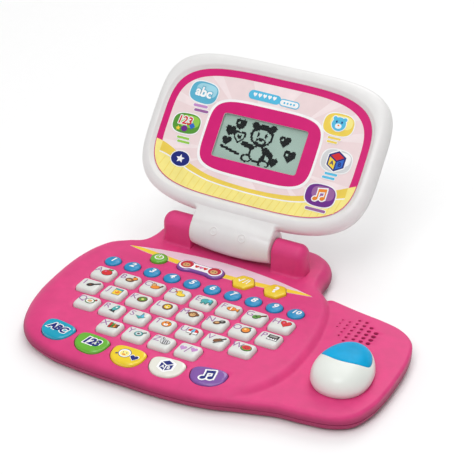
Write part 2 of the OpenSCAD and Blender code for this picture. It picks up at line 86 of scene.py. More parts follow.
SCREEN_POWER = 26
KEY_START = (-111.25, -8.0)
KEY_PITCH = (23.5, 21.6)
KEY_SIZE = (19.6, 16.8)
NUMBER_START = (-116.1, 14.1)
NUMBER_PITCH = 19.0
NUMBER_R = 7.0
DOME_R = 6.92
POWER_R = 7.5
CATEGORY_MID = (-33.1, -97.6)
CATEGORY_PITCH = 33.7
CATEGORY_BOW = 435.0
CATEGORY_HALF = (14.2, 9.8)
FUNCTION_TOP = 22.5
CONSOLE_HALF = 86.5
PEBBLE = [
    (-76, -113.5, 22), (-53, -114.5, 22), (-28, -114.5, 22), (-2, -114.5, 22), (24, -112.5, 20),
    (48, -108.5, 15), (65, -99, 11), (78, -83, 10), (86, -62, 10), (88.5, -38, 10), (87, -8, 10),
    (82, 18, 10), (75, 38, 9), (64, 54, 8), (55, 62, 8), (51.5, 74, 8), (50.5, 88, 9),
    (46, 101, 10), (36, 110.5, 12), (20, 115, 12), (-31, 115.5, 12), (-82, 115, 12),
    (-98, 110.5, 12), (-108, 101, 10), (-112.5, 88, 9), (-113.5, 74, 9), (-117, 63, 9),
    (-128, 58, 12), (-142, 49, 16), (-151, 33, 20), (-155.5, 10, 22), (-155.5, -20, 22),
    (-153, -45, 22), (-147, -68, 22), (-137, -88, 22), (-121, -102.5, 22), (-97, -111, 22)]
RIGHT_SIDE = [
    (45, -108.3, 14), (60, -103.2, 7), (76, -98.4, 3.5), (92, -94, 3), (112, -92, 3),
    (133, -88, 3), (148, -78, 3), (155, -60, 3), (157, -40, 3), (157, -18, 3), (155.5, 4, 3),
    (151, 24, 3), (143.5, 35, 3), (132, 42.5, 3), (117, 46.5, 3), (98, 49.5, 3), (80, 53, 3),
    (66, 56.5, 4)]
OUTER = PEBBLE[:5] + RIGHT_SIDE + PEBBLE[14:]
SCREWS = [
    (-138, 20), (-130, -72), (-90, -71), (40, -71), (140, -70), (140, 20), (40, 72), (-102, 72)]
LID_SCREWS = [(-88, 120), (88, 120), (-88, 45), (88, 45)]


# ---------- loops and distances ----------
def smooth_loop(points, steps):
    """Closed Catmull-Rom curve through the points, with any extra values carried along."""
    p = np.array(points, float)
    a, c, d = np.roll(p, 1, 0), np.roll(p, -1, 0), np.roll(p, -2, 0)
    out = []
    for k in range(steps):
        t = k / steps
        out.append(0.5 * (2 * p + (c - a) * t + (2 * a - 5 * p + 4 * c - d) * t ** 2
                          + (3 * p - a - 3 * c + d) * t ** 3))
    return np.stack(out, 1).reshape(-1, p.shape[1])


def inset(loop, d):
    """The loop moved inwards by d, which may be one number or one for each point."""
    flat = loop[:, :2]
    t = np.roll(flat, -1, 0) - np.roll(flat, 1, 0)
    t /= np.linalg.norm(t, axis=1)[:, None]
    return flat + np.stack([-t[:, 1], t[:, 0]], 1) * np.reshape(d, (-1, 1))


def inside(loop, pts):
    x, y = pts[:, 0:1], pts[:, 1:2]
    x0, y0 = loop[:, 0], loop[:, 1]
    x1, y1 = np.roll(x0, -1), np.roll(y0, -1)
    crosses = (y0 > y) != (y1 > y)
    at = x0 + (y - y0) * (x1 - x0) / np.where(y1 == y0, 1e-9, y1 - y0)
    return np.sum(crosses & (x < at), 1) % 2 == 1


def depth(loop, pts):
    """(distance inside the loop, negative outside; the loop's third value at the nearest place)."""
    a = loop[:, :2]
    ab = np.roll(a, -1, 0) - a
    rel = pts[:, None, :2] - a
    t = np.clip(np.sum(rel * ab, 2) / np.maximum(np.sum(ab * ab, 1), 1e-9), 0, 1)
    dist = np.linalg.norm(rel - t[:, :, None] * ab, axis=2)
    k = np.argmin(dist, 1)
    row = np.arange(len(pts))
    value = 0.0
    if loop.shape[1] > 2:
        e = loop[:, 2]
        value = e[k] * (1 - t[row, k]) + np.roll(e, -1)[k] * t[row, k]
    return np.where(inside(a, pts), 1, -1) * dist[row, k], value


def circle(x, y, r, n=48, start=0.0):
    a = start + np.arange(n) * 2 * math.pi / n
    return np.stack([x + r * np.cos(a), y + r * np.sin(a)], 1)


def rounded(w, d, r, n=7):
    """Rounded rectangle about the origin, anticlockwise."""
    out = []
    for k, (sx, sy) in enumerate([(1, 1), (-1, 1), (-1, -1), (1, -1)]):
        a = (k + np.linspace(0, 1, n)) * math.pi / 2
        out.append(np.stack([sx * (w / 2 - r) + r * np.cos(a), sy * (d / 2 - r) + r * np.sin(a)], 1))
    return np.concatenate(out)


def superloop(a, b, top, low, n=192):
    """Superellipse with one power above its middle and one below."""
    t = np.arange(n) * 2 * math.pi / n
    c, s = np.cos(t), np.sin(t)
    power = np.where(s > 0, top, low)
    x = a * np.sign(c) * np.abs(c) ** (2 / power)
    return np.stack([x, b * np.sign(s) * np.abs(s) ** (2 / power)], 1)


def resample(loop, n):
    closed = np.vstack([loop, loop[:1]])
    s = np.concatenate([[0], np.cumsum(np.linalg.norm(np.diff(closed, axis=0), axis=1))])
    at = np.arange(n) * s[-1] / n
    return np.stack([np.interp(at, s, closed[:, 0]), np.interp(at, s, closed[:, 1])], 1)


def soften(loop, times):
    for _ in range(times):
        loop = (np.roll(loop, 1, 0) + 2 * loop + np.roll(loop, -1, 0)) / 4
    return loop


def turned(loop, x, y, angle=0.0):
    c, s = math.cos(angle), math.sin(angle)
    return np.stack([x + c * loop[:, 0] - s * loop[:, 1], y + s * loop[:, 0] + c * loop[:, 1]], 1)


def lifted(loop, z):
    """Points of a flat loop at a height, or at one height for each point."""
    return [(p[0], p[1], h) for p, h in zip(loop, np.broadcast_to(z, len(loop)))]


def smoothstep(x):
    x = np.clip(x, 0, 1)
    return x * x * (3 - 2 * x)


# ---------- meshes ----------
def loft(rings, cap_start=True, cap_end=True, ring=False):
    """(points, faces) of a skin over rings of equal length."""
    n = len(rings[0])
    last = len(rings) - 1
    faces = []
    for k in range(last):
        for i in range(n):
            j = (i + 1) % n
            faces.append((k * n + i, k * n + j, (k + 1) * n + j, (k + 1) * n + i))
    if ring:
        for i in range(n):
            j = (i + 1) % n
            faces.append((last * n + i, last * n + j, j, i))
    else:
        if cap_start:
            faces.append(tuple(range(n - 1, -1, -1)))
        if cap_end:
            faces.append(tuple(last * n + i for i in range(n)))
    return [tuple(p) for r in rings for p in r], faces


def joined(*parts):
    points, faces = [], []
    for p, f in parts:
        k = len(points)
        points += list(p)
        faces += [tuple(i + k for i in face) for face in f]
    return points, faces


def triangulate(loops, free):
    """Triangles over what is inside the first loop and outside the others."""
    pts, edges = [], []
    for loop in loops:
        k, n = len(pts), len(loop)
        pts += [Vector((p[0], p[1])) for p in loop]
        edges += [(k + i, k + (i + 1) % n) for i in range(n)]
    pts += [Vector((p[0], p[1])) for p in free]
    found, _, tris, origin, _, _ = delaunay_2d_cdt(pts, edges, [], 0, 1e-5)
    flat = np.array([(v.x, v.y) for v in found])
    tris = np.array(tris)
    middle = flat[tris].mean(1)
    keep = inside(np.array(loops[0])[:, :2], middle)
    for loop in loops[1:]:
        keep &= ~inside(np.array(loop)[:, :2], middle)
    return flat, tris[keep], [o[0] if o else -1 for o in origin]


def two_skins(tris, n):
    """The triangles, and the same ones turned over on the points n further on."""
    return [tuple(t) for t in tris] + [(t[0] + n, t[2] + n, t[1] + n) for t in tris]


def open_edges(tris):
    """Edges that only one triangle has."""
    sides = {(int(t[i]), int(t[(i + 1) % 3])) for t in tris for i in range(3)}
    return [(a, b) for a, b in sides if (b, a) not in sides]


def thick(flat, tris, top, under):
    """Closed solid between two height fields over the same triangles."""
    n = len(flat)
    walls = [(b, a, a + n, b + n) for a, b in open_edges(tris)]
    return lifted(flat, top) + lifted(flat, under), two_skins(tris, n) + walls


def clear_of(points, loops, gap):
    """The points that aren't in or within gap of any loop."""
    keep = np.ones(len(points), bool)
    for loop in loops:
        low, high = loop.min(0) - gap, loop.max(0) + gap
        near = keep & np.all((points > low) & (points < high), 1)
        if near.any():
            keep[near] &= depth(loop, points[near])[0] < -gap
    return points[keep]


def piece(name, shape, material, body, stands_for=(), matrix=None, sharp=38):
    """One visible mesh that rides on a body. shape is (points, faces) in millimetres."""
    points, faces = shape
    mesh = bpy.data.meshes.new(name)
    mesh.from_pydata([(p[0] * MM, p[1] * MM, p[2] * MM) for p in points], [], faces)
    bm = bmesh.new()
    bm.from_mesh(mesh)
    bmesh.ops.recalc_face_normals(bm, faces=bm.faces)
    bm.to_mesh(mesh)
    bm.free()
    mesh.shade_smooth()
    mesh.set_sharp_from_angle(angle=math.radians(sharp))
    mesh.materials.append(material)
    return place(name, mesh, body, stands_for, matrix)


def place(name, mesh, body, stands_for=(), matrix=None):
    o = bpy.data.objects.new(name, mesh)
    bpy.context.scene.collection.objects.link(o)
    if matrix is not None:
        o.matrix_world = matrix
    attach(o, body)
    if stands_for:
        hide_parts(*stands_for)
    return o


# ---------- materials ----------
def linear(rgb):
    return [((c / 255 + 0.055) / 1.055) ** 2.4 if c > 10 else c / 3294.6 for c in rgb]


def node(tree, kind, **values):
    """New shader node with some of its inputs set; _ stands for a space in an input's name."""
    made = tree.nodes.new("ShaderNode" + kind)
    for key, value in values.items():
        made.inputs[key.replace("_", " ")].default_value = value
    return made


def new_material(name):
    m = bpy.data.materials.new(name)
    m.use_nodes = True
    return m, m.node_tree, m.node_tree.nodes["Principled BSDF"]


def plastic(name, rgb, rough=0.35, vary=0.05, grain=0.03, coat=0.0, clear=0.0, metal=0.0, scale=90,
            shine=0.5):
    """Moulded or printed surface: faint mottling, uneven gloss and a fine grain."""
    m, tree, shader = new_material(name)
    link = tree.links.new
    coords = node(tree, "TexCoord")
    noise = node(tree, "TexNoise", Scale=scale, Detail=3)
    link(coords.outputs["Object"], noise.inputs["Vector"])
    ramp = node(tree, "ValToRGB")
    for stop, position, share in zip(ramp.color_ramp.elements, (0.3, 0.7), (1 - vary, 1 + vary)):
        stop.position = position
        stop.color = [min(c * share, 1) for c in linear(rgb)] + [1]
    link(noise.outputs["Fac"], ramp.inputs["Fac"])
    link(ramp.outputs["Color"], shader.inputs["Base Color"])
    gloss = node(tree, "MapRange", To_Min=rough * 0.88, To_Max=min(rough * 1.12, 1))
    link(noise.outputs["Fac"], gloss.inputs["Value"])
    link(gloss.outputs["Result"], shader.inputs["Roughness"])
    fine = node(tree, "TexNoise", Scale=1400, Detail=2)
    link(coords.outputs["Object"], fine.inputs["Vector"])
    bump = node(tree, "Bump", Strength=grain, Distance=0.0002)
    link(fine.outputs["Fac"], bump.inputs["Height"])
    link(bump.outputs["Normal"], shader.inputs["Normal"])
    settings = {"Coat Weight": coat, "Coat Roughness": 0.08, "Specular IOR Level": shine,
                "Transmission Weight": clear, "Metallic": metal}
    for key, value in settings.items():
        shader.inputs[key].default_value = value
    return m


PINK = plastic("pink_plastic", (221, 64, 128), rough=0.5, shine=0.3)


def paint_low_shade(material, low, high, share):
    """Painted shade: the colour falls to a share of itself from one height down to another (mm), standing in
    for the shade low on the walls.
    """
    tree = material.node_tree
    link = tree.links.new
    coords, ramp = tree.nodes["Texture Coordinate"], tree.nodes["Color Ramp"]
    split = node(tree, "SeparateXYZ")
    link(coords.outputs["Object"], split.inputs["Vector"])
    painted_shade = node(tree, "MapRange", From_Min=low * MM, From_Max=high * MM, To_Min=share)
    painted_shade.interpolation_type = "SMOOTHSTEP"
    link(split.outputs["Z"], painted_shade.inputs["Value"])
    mix = node(tree, "VectorMath")
    mix.operation = "SCALE"
    link(ramp.outputs["Color"], mix.inputs["Vector"])
    link(painted_shade.outputs["Result"], mix.inputs["Scale"])
    link(mix.outputs["Vector"], tree.nodes["Principled BSDF"].inputs["Base Color"])


# painted shade: the pink darkens from 15.2 mm down to half at 8.5 mm, standing in for the shade on the lower
# walls and the lower shell
paint_low_shade(PINK, 8.5, 15.2, 0.5)
WHITE = plastic("white_plastic", (232, 231, 230), rough=0.34, vary=0.015)
KEY_WHITE = plastic("key_white", (222, 224, 220), rough=0.3, vary=0.015)
DOME_BLUE = plastic("dome_blue", (38, 144, 196), rough=0.3, coat=0.12, shine=0.35)
TEAL = plastic("teal_key", (4, 160, 190), rough=0.22, coat=0.3)
GREEN = plastic("green_key", (104, 180, 50), rough=0.22, coat=0.3)
YELLOW = plastic("yellow_key", (240, 208, 40), rough=0.22, coat=0.3)
CREAM = plastic("white_key", (232, 231, 220), rough=0.22, coat=0.3, vary=0.015)
PURPLE = plastic("purple_key", (128, 82, 164), rough=0.22, coat=0.3)
MOUSE_WHITE = plastic("mouse_white", (232, 236, 230), rough=0.34, coat=0.1, vary=0.015)
MOUSE_BLUE = plastic("mouse_blue", (0, 170, 224), rough=0.42, vary=0.14, clear=0.1, scale=55,
                     shine=0.1)
LABEL = plastic("printed_label", (238, 208, 222), rough=0.4, vary=0.03)
FACE = plastic("printed_face", (240, 219, 220), rough=0.4, vary=0.02)
LCD = plastic("lcd_panel", (184, 212, 200), rough=0.3, vary=0.04, scale=20)
BOARD = plastic("circuit_board", (20, 92, 52), rough=0.5, vary=0.2)
RUBBER = plastic("mat_rubber", (186, 188, 192), rough=0.6, vary=0.1)
BLACK = plastic("black_plastic", (40, 30, 34), rough=0.5, vary=0.2)
CELL = plastic("cell_metal", (190, 150, 70), rough=0.3, vary=0.1, metal=0.8)
STEEL = plastic("steel", (180, 182, 186), rough=0.3, vary=0.1, metal=1.0)
FOOT = plastic("foot_rubber", (70, 70, 74), rough=0.8, vary=0.15)


def window_material():
    """Clear sheet: what is behind shows through, with a faint reflection."""
    m, tree, gloss = new_material("clear_window")
    link = tree.links.new
    gloss.inputs["Base Color"].default_value = (0.02, 0.02, 0.02, 1)
    noise = node(tree, "TexNoise", Scale=40)
    spread = node(tree, "MapRange", To_Min=0.06, To_Max=0.14)
    link(noise.outputs["Fac"], spread.inputs["Value"])
    link(spread.outputs["Result"], gloss.inputs["Roughness"])
    mix = node(tree, "MixShader", Fac=0.06)
    link(node(tree, "BsdfTransparent").outputs["BSDF"], mix.inputs[1])
    link(gloss.outputs["BSDF"], mix.inputs[2])
    link(mix.outputs["Shader"], tree.nodes["Material Output"].inputs["Surface"])
    return m


WINDOW = window_material()


# ---------- base ----------
outer_loop = smooth_loop(OUTER, 8)
pebble_loop = smooth_loop(PEBBLE, 8)


def quarter(share):
    """Height share of a quarter-round edge at a share of its width."""
    return np.sqrt(np.clip(1 - (1 - np.clip(share, 0, 1)) ** 2, 0, 1))


def top_height(pts):
    """Height of the base's upper skin over a place."""
    d, edge = depth(pebble_loop, pts)
    raised = np.where(d > 0, PARTING_Z + (PANEL_Z - PARTING_Z) * quarter(d / edge), PARTING_Z + 5 * d)
    raised = np.maximum(raised, -30)
    d_out, _ = depth(outer_loop, pts)
    start = 43.5 + 6 * pts[:, 1] / 100
    fall = 14 * (1 - smoothstep((pts[:, 0] - start) / 24))
    wing = WING_Z - 3 + 3 * quarter(d_out / 3) - fall
    h = 0.5 * (raised + wing + np.sqrt((raised - wing) ** 2 + 1.5 ** 2))
    h = np.clip(h, PARTING_Z + 0.35, PANEL_Z)
    y = np.clip(np.abs(pts[:, 1] - AXIS[1]), 0, TROUGH_R - 0.01)
    trough = AXIS[2] - np.sqrt(TROUGH_R ** 2 - y ** 2)
    return np.where(np.abs(pts[:, 0] - AXIS[0]) < KNUCKLE_IN, np.minimum(h, trough), h)


def key_place(i):
    row = 0 if i < 8 else 1 if i < 16 else 2 if i < 23 else 3
    first, indent = (0, 8, 16, 23)[row], (0, 0, 0.5, 2)[row]
    return KEY_START[0] + (i - first + indent) * KEY_PITCH[0], KEY_START[1] - row * KEY_PITCH[1]


def number_place(i):
    return NUMBER_START[0] + NUMBER_PITCH * i, NUMBER_START[1]


def category_place(i):
    """x, y and turn of a category key."""
    dx = (i - 2) * CATEGORY_PITCH
    rise = dx * dx / (2 * CATEGORY_BOW)
    return CATEGORY_MID[0] + dx, CATEGORY_MID[1] + rise, math.atan(dx / CATEGORY_BOW)


def spot(x, y, turn=0.0):
    """Where a key stands."""
    return Matrix.Translation((x * MM, y * MM, 0)) @ Matrix.Rotation(turn, 4, "Z")


FUNCTION_PLACES = [(-84, 35.5), (-44.5, 36.5), (-3.5, 35.5), (25.5, 35.5)]


def letter_loop(grow=0.0, n=7):
    return rounded(KEY_SIZE[0] + 2 * grow, KEY_SIZE[1] + 2 * grow, max(3.6 + grow * 0.75, 0.8), n)


def category_loop(grow=0.0, n=72):
    half_w, half_d = CATEGORY_HALF
    loop = superloop(half_w + grow, half_d + grow, 3.2, 2.4, n)
    return np.stack([loop[:, 0] * (1 + 0.09 * loop[:, 1] / half_d), loop[:, 1]], 1)


def bone_loop(grow=0.0):
    r, bar = 8.2 + grow, 6 + grow
    a = math.pi - math.asin(bar / r)
    t = np.linspace(-a, a, 40)
    right = np.stack([13.6 + r * np.cos(t), r * np.sin(t)], 1)
    return soften(resample(np.vstack([right, -right]), 96), 5)


def function_loop(kind, grow=0.0):
    if kind == 0:
        return circle(0, 0, POWER_R + grow, 64)
    if kind == 1:
        return bone_loop(grow)
    return soften(resample(circle(0, 0, 10.4 + grow * 1.1, 6), 72), 4)


def sound_holes():
    spans = [(0, 2), (-2, 2), (-3, 3), (-3, 3), (-3, 2), (-2, 1)]
    out = []
    for i, (low, high) in enumerate(spans):
        for j in range(low, high + 1):
            out.append(circle(88 + 6.25 * i, 21 + 5.25 * j, 0.75 + 0.23 * i, 20))
    return out


def top_openings():
    out = [turned(letter_loop(KEY_GAP), *key_place(i)) for i in range(27)]
    out += [circle(*number_place(i), NUMBER_R + KEY_GAP, 48) for i in range(10)]
    out += [turned(function_loop(i, KEY_GAP), *FUNCTION_PLACES[i]) for i in range(4)]
    out += [turned(category_loop(KEY_GAP), *category_place(i)) for i in range(5)]
    out += sound_holes()
    out.append(turned(rounded(18, 18, 2), *MOUSE))
    return out


def grid(low, high, step):
    x, y = np.meshgrid(np.arange(low[0], high[0], step), np.arange(low[1], high[1], step))
    return np.stack([x.ravel(), y.ravel()], 1)


def base_top():
    edge = outer_loop[:, 2]
    band_angles = np.radians([0, 3, 7, 12, 18, 24, 30, 36])
    band = [inset(outer_loop, edge * (1 - math.cos(a))) for a in band_angles]
    free = [inset(outer_loop, edge * (1 - math.cos(math.radians(a)))) for a in range(42, 90, 6)]
    free += [inset(pebble_loop, d) for d in (-4, -3, -2, -1, -0.3, 0.4, 1, 1.7, 2.5, 3.5, 4.7, 6, 7.5, 9)]
    free.append(grid((-150, -110), (154, 112), 4.0))
    free.append(grid((-68, 54), (7, 92), 2.0))
    free = np.concatenate(free)
    free = free[depth(band[-1], free)[0] > 0.8]
    openings = top_openings()
    lips = [inset(loop, -0.4) for loop in openings]
    free = clear_of(free, lips, 0.5)
    apart = np.round(free / 0.45).astype(int)
    _, first = np.unique(apart, axis=0, return_index=True)
    free = free[first]
    loops = [band[-1]] + openings
    flat, tris, origin = triangulate(loops, np.concatenate([free] + lips))
    count = len(band[-1])
    held = sum(len(loop) for loop in loops)
    at_hole = np.array([count <= o < held for o in origin])
    top = top_height(flat) - np.where(at_hole, 0.3, 0)
    under = np.maximum(top_height(flat) - SKIN, PARTING_Z + 0.25)
    # the rounded rim, ring by ring, joined to the middle along its inner ring
    where = {o: i for i, o in enumerate(origin) if 0 <= o < count}
    points = lifted(flat, top) + lifted(flat, under)
    n = len(flat)
    faces = two_skins(tris, n)
    rim = {where[i] for i in range(count)}
    for a, b in open_edges(tris):
        if not (a in rim and b in rim):
            faces.append((b, a, a + n, b + n))
    above = [[where[i] for i in range(count)]]
    below = [[where[i] + n for i in range(count)]]
    for ring in reversed(band[:-1]):
        h = top_height(ring)
        d = depth(outer_loop, ring)[0]
        low = np.where(d < SKIN, PARTING_Z + 0.25, np.maximum(h - SKIN, PARTING_Z + 0.25))
        above.append(list(range(len(points), len(points) + count)))
        points += lifted(ring, h)
        below.append(list(range(len(points), len(points) + count)))
        points += lifted(ring, low)
    for stack in (above, below):
        for inner, outer in zip(stack, stack[1:]):
            for i in range(count):
                j = (i + 1) % count
                faces.append((inner[i], outer[i], outer[j], inner[j]))
    for i in range(count):
        j = (i + 1) % count
        faces.append((above[-1][i], below[-1][i], below[-1][j], above[-1][j]))
    return points, faces


def knuckle(side):
    """Rounded housing that carries one end of the hinge."""
    round_r, flare_r = 8.4, 2.4
    spots = [(KNUCKLE_IN + 0.01, 0.5), (KNUCKLE_IN + 0.25, 0.15), (KNUCKLE_IN + 0.7, 0.0)]
    spots += [(s, 0.0) for s in np.linspace(KNUCKLE_IN + 3, KNUCKLE_OUT - round_r, 6)]
    for a in np.radians(np.arange(8, 91, 8)):
        spots.append((KNUCKLE_OUT - round_r + round_r * math.sin(a), round_r * (1 - math.cos(a))))
    rings = []
    for s, less in spots:
        r = KNUCKLE_R - less
        ring = []
        for z in (17.5, 20.0, 20.6, 21.0, 21.5, 22.1, 22.9, 27.0, 31):
            left = max(flare_r - max(z - PANEL_Z, 0), 0)
            flare = flare_r - math.sqrt(max(flare_r ** 2 - left ** 2, 0))
            ring.append((-r - flare, z))
        for a in np.linspace(math.pi, 0, 25):
            ring.append((r * math.cos(a), KNUCKLE_Z + r * math.sin(a)))
        ring += [(-y, z) for y, z in reversed(ring[:9])]
        rings.append([(AXIS[0] + side * s, AXIS[1] + y, z) for y, z in ring])
    return loft(rings)


def base_bottom():
    """Lower shell: tapered side, flat underside with the battery bay and sunk screw heads."""
    bay = turned(rounded(66, 50, 3), AXIS[0], 84)
    heads = [circle(x, y, 3.2, 32) for x, y in SCREWS]
    under_ring = inset(outer_loop, 4)
    free = grid((-150, -110), (150, 110), 12)
    free = free[depth(under_ring, free)[0] > 3]
    free = clear_of(free, [bay] + heads, 1.5)
    flat, tris, _ = triangulate([under_ring, bay] + heads, free)
    n = len(flat)
    deep = depth(under_ring, flat)[0] < 1e-3
    floor = np.where(deep, FLOOR_Z - 1, FLOOR_Z)
    floor_part = thick(flat, tris, floor, np.full(n, BOTTOM_Z))
    side = [(0.7, 7.95), (0.7, 7.3), (0.25, 7.3), (0.05, 7.1), (0.1, 6.6), (0.5, 5.4), (1.1, 4.2)]
    side += [(1.9, 3.0), (2.6, 2.1), (3.2, 1.6), (3.7, 1.3), (4.0, BOTTOM_Z), (4.0, FLOOR_Z - 1)]
    side += [(3.4, FLOOR_Z), (2.6, 7.95)]
    side_part = loft([lifted(inset(outer_loop, d), z) for d, z in side], ring=True)
    return floor_part, side_part


# ---------- keys ----------
def cap(outline, profile, height=lambda loop: 0.0):
    """Key from its flange up to a rounded top.

    Each row of the profile is (inset, z, follows); z is above the height at the place if follows is set.
    """
    rings = []
    for d, z, follows in profile:
        loop = outline(-d)
        rings.append(lifted(loop, z + height(loop) if follows else z))
    return loft(rings)


LETTER_PROFILE = [
    (-1.1, 16.8, 0), (-1.1, 18.0, 0), (0, 18.0, 0), (0, 20.4, 0), (0.12, 21.2, 0), (0.42, 22.2, 0),
    (0.85, 23.0, 0), (1.4, 23.5, 0), (2.1, 23.8, 0), (3.0, 23.95, 0), (4.2, 24.0, 0)]
LETTER_TOP = 24.0
CATEGORY_PROFILE = [
    (-1.1, 12.2, 0), (-1.1, 13.1, 0), (0, 13.1, 0), (0, -2.0, 1), (0.12, -1.2, 1), (0.5, -0.55, 1),
    (1.1, -0.2, 1), (1.9, -0.03, 1), (2.9, 0.0, 1)]
FUNCTION_PROFILE = [
    (-1.1, 16.8, 0), (-1.1, 18.0, 0), (0, 18.0, 0), (0, 21.0, 0), (0.15, 21.6, 0), (0.5, 22.05, 0),
    (1.05, 22.35, 0), (1.9, 22.5, 0)]


def category_top(y):
    return 21.1 + y * math.tan(math.radians(7))


def dome_height(x, y):
    """Height of a number key's dome at a distance from its centre."""
    share = np.clip(np.hypot(x, y) / DOME_R, 0, 1)
    return 20.9 + 1.6 * np.sqrt(1 - share ** 2.4)


def number_caps(first):
    parts = []
    for i in range(first, first + 5):
        x, y = number_place(i)
        rings = [lifted(circle(x, y, NUMBER_R, 56), z) for z in (FLANGE[0], 20.7)]
        for a in np.radians([0, 8, 18, 30, 42, 54, 66, 76, 84]):
            r = DOME_R * math.cos(a)
            rings.append(lifted(circle(x, y, r, 56), dome_height(r, 0)))
        parts.append(loft(rings))
    runner = turned(rounded(4 * NUMBER_PITCH, 6, 2), *number_place(first + 2))
    parts.append(loft([lifted(runner, FLANGE[0] + 0.01), lifted(runner, FLANGE[1])]))
    return joined(*parts)


# ---------- lid ----------
LID = (Matrix.Translation(Vector(AXIS) * MM) @ Matrix.Rotation(math.radians(LID_LEAN), 4, "X"))
FACE_PLACE = LID @ Matrix.Translation((0, LCD_V * MM, 0))
LID_POINTS = 240


def lid_loop(e):
    return superloop(LID_HALF[0] - e, LID_HALF[1] - e, *LID_POWERS, LID_POINTS) + (0, LID_MID)


def panel_loop(e):
    loop = superloop(PANEL_HALF[0] + e, PANEL_HALF[1] + e, PANEL_POWER, PANEL_POWER, LID_POINTS)
    return loop + (0, LID_MID)


def lcd_loop(grow=0.0):
    loop = superloop(SCREEN_HALF[0] + grow, SCREEN_HALF[1] + grow, SCREEN_POWER, SCREEN_POWER, LID_POINTS)
    return loop + (0, LCD_V)


def lid_front():
    rings = [lifted(lid_loop(0.35), 4.05), lifted(lid_loop(0), 4.4)]
    for a in np.radians(np.arange(0, 91, 7.5)):
        rings.append(lifted(lid_loop(8 * (1 - math.cos(a))), RIM_LOW + RIM_RISE * math.sin(a)))
    crest, lip = lid_loop(8), panel_loop(3.4)
    for t in (0.35, 0.7):
        rings.append(lifted(crest * (1 - t) + lip * t, RIM_LOW + RIM_RISE))
    slope = ((3.4, 14.6), (3.0, 14.45), (2.5, 14.1), (1.9, 13.5), (1.3, 12.9), (0.7, 12.45), (0.15, 12.2))
    rings += [lifted(panel_loop(e), w) for e, w in slope]
    rings.append(lifted(panel_loop(0), 11.3))
    rings.append(lifted(lcd_loop(3.6), 11.3))
    rings.append(lifted(lcd_loop(3.6), 9.0))
    rings.append(lifted(lid_loop(3), 9.0))
    rings.append(lifted(lid_loop(3), 4.05))
    return loft(rings, ring=True)


def lid_back():
    holes = [circle(x, y, 3, 28) for x, y in LID_SCREWS]
    loop = lid_loop(7)
    free = grid((-98, 20), (98, 146), 10)
    free = free[depth(loop, free)[0] > 3]
    free = clear_of(free, holes, 1.5)
    flat, tris, _ = triangulate([loop] + holes, free)
    floor_part = thick(flat, tris, np.full(len(flat), 0.4), np.full(len(flat), -2.0))
    rings = []
    for a in np.radians(np.arange(0, 91, 9)):
        rings.append(lifted(lid_loop(7 * (1 - math.cos(a))), 3.6 - 5.6 * math.sin(a)))
    rings += [lifted(lid_loop(7), 0.4), lifted(lid_loop(3), 0.4), lifted(lid_loop(3), 3.95)]
    rings.append(lifted(lid_loop(0.5), 3.95))
    return floor_part, loft(rings, ring=True)


def barrel():
    """Crowned roll that turns between the knuckles."""
    rings = []
    half = BARREL_HALF
    spots = [(-half, 12.2), (-half, 12.8), (-half + 0.3, 13.5), (-half + 0.9, 13.95)]
    spots += [(x, barrel_radius(x)) for x in np.linspace(-half + 1.8, half - 1.8, 25)]
    spots += [(-x, r) for x, r in reversed(spots[:4])]
    for x, r in spots:
        a = np.linspace(0, 2 * math.pi, 72, endpoint=False)
        rings.append([(x, r * math.cos(t), r * math.sin(t)) for t in a])
    return loft(rings)


def barrel_radius(x):
    return BARREL_R - BARREL_CROWN * (x / BARREL_HALF) ** 2


def neck_top(x, v):
    """Height of the bridge: it leaves the crowned barrel without a step."""
    crown = np.sqrt(np.maximum(barrel_radius(x) ** 2 - v * v, 0))
    soft = 2.6 * smoothstep(v / 5)
    return 0.5 * (13.45 + crown + np.sqrt((13.45 - crown) ** 2 + soft ** 2))


def neck_row(v, flare):
    """Section of the bridge: square-sided below the lid, fading into the lid's rounded edge."""
    half = 37.4 + flare
    share = np.linspace(0, 1, 9)
    inner = 35.6
    top = float(neck_top(inner, v))
    bow = np.radians(90 * share)
    round_x, round_z = half - 1.8 * (1 - np.cos(bow)), top - 1.8 * (1 - np.sin(bow))
    round_x = round_x * (1 - share) + np.minimum(round_x, inner + (half - inner) * (1 - share)) * share
    sunk = min(max(v - 13.1, 0) / 8, 1)
    rim = RIM_LOW + RIM_RISE * math.sqrt(1 - (1 - sunk) ** 2) - 0.35
    fade_x, fade_z = half - (half - inner) * share, rim + (top - rim) * smoothstep(share)
    w = float(smoothstep((v - 12.2) / 2.2))
    side = np.stack([round_x * (1 - w) + fade_x * w, round_z * (1 - w) + fade_z * w], 1)
    x = np.linspace(inner, -inner, 25)[1:-1]
    right = [(a, v, b) for a, b in side]
    middle = [(a, v, float(neck_top(a, v))) for a in x]
    left = [(-a, v, b) for a, b in side[::-1]]
    return right + middle + left + [(-37.4, v, 1.0), (37.4, v, 1.0)]


def neck():
    """Bridge from the barrel to the lid's lower edge, with soft sides."""
    rows = [(1.0, 0), (2.0, 0), (3.0, 0), (4.0, 0), (5.2, 0), (6.5, 0), (8.0, 0), (9.5, 0), (10.8, 0)]
    rows += [(11.8, 0.1), (12.6, 0.4), (13.2, 1.0), (13.8, 2.0), (14.4, 3.1), (15.0, 4.2), (15.8, 5.4)]
    rows += [(16.6, 6.5), (17.5, 7.4), (18.6, 8.0)]
    return loft([neck_row(v, flare) for v, flare in rows])


def moulded_rings():
    """Two small raised rings, each with a dot, on the front of the barrel."""
    def on_barrel(x, r, lift):
        loop = circle(x, -2.2, r, 40)
        return [(p[0], p[1], math.sqrt(barrel_radius(p[0]) ** 2 - p[1] ** 2) + lift) for p in loop]
    parts = []
    for x in (-13.2, 13.2):
        across = ((2.7, -0.3), (2.95, 0.25), (3.3, 0.5), (3.65, 0.25), (3.9, -0.3))
        parts.append(loft([on_barrel(x, r, lift) for r, lift in across], ring=True))
        parts.append(loft([on_barrel(x, r, lift) for r, lift in ((1.2, -0.3), (1.0, 0.25), (0.5, 0.4))]))
    return joined(*parts)


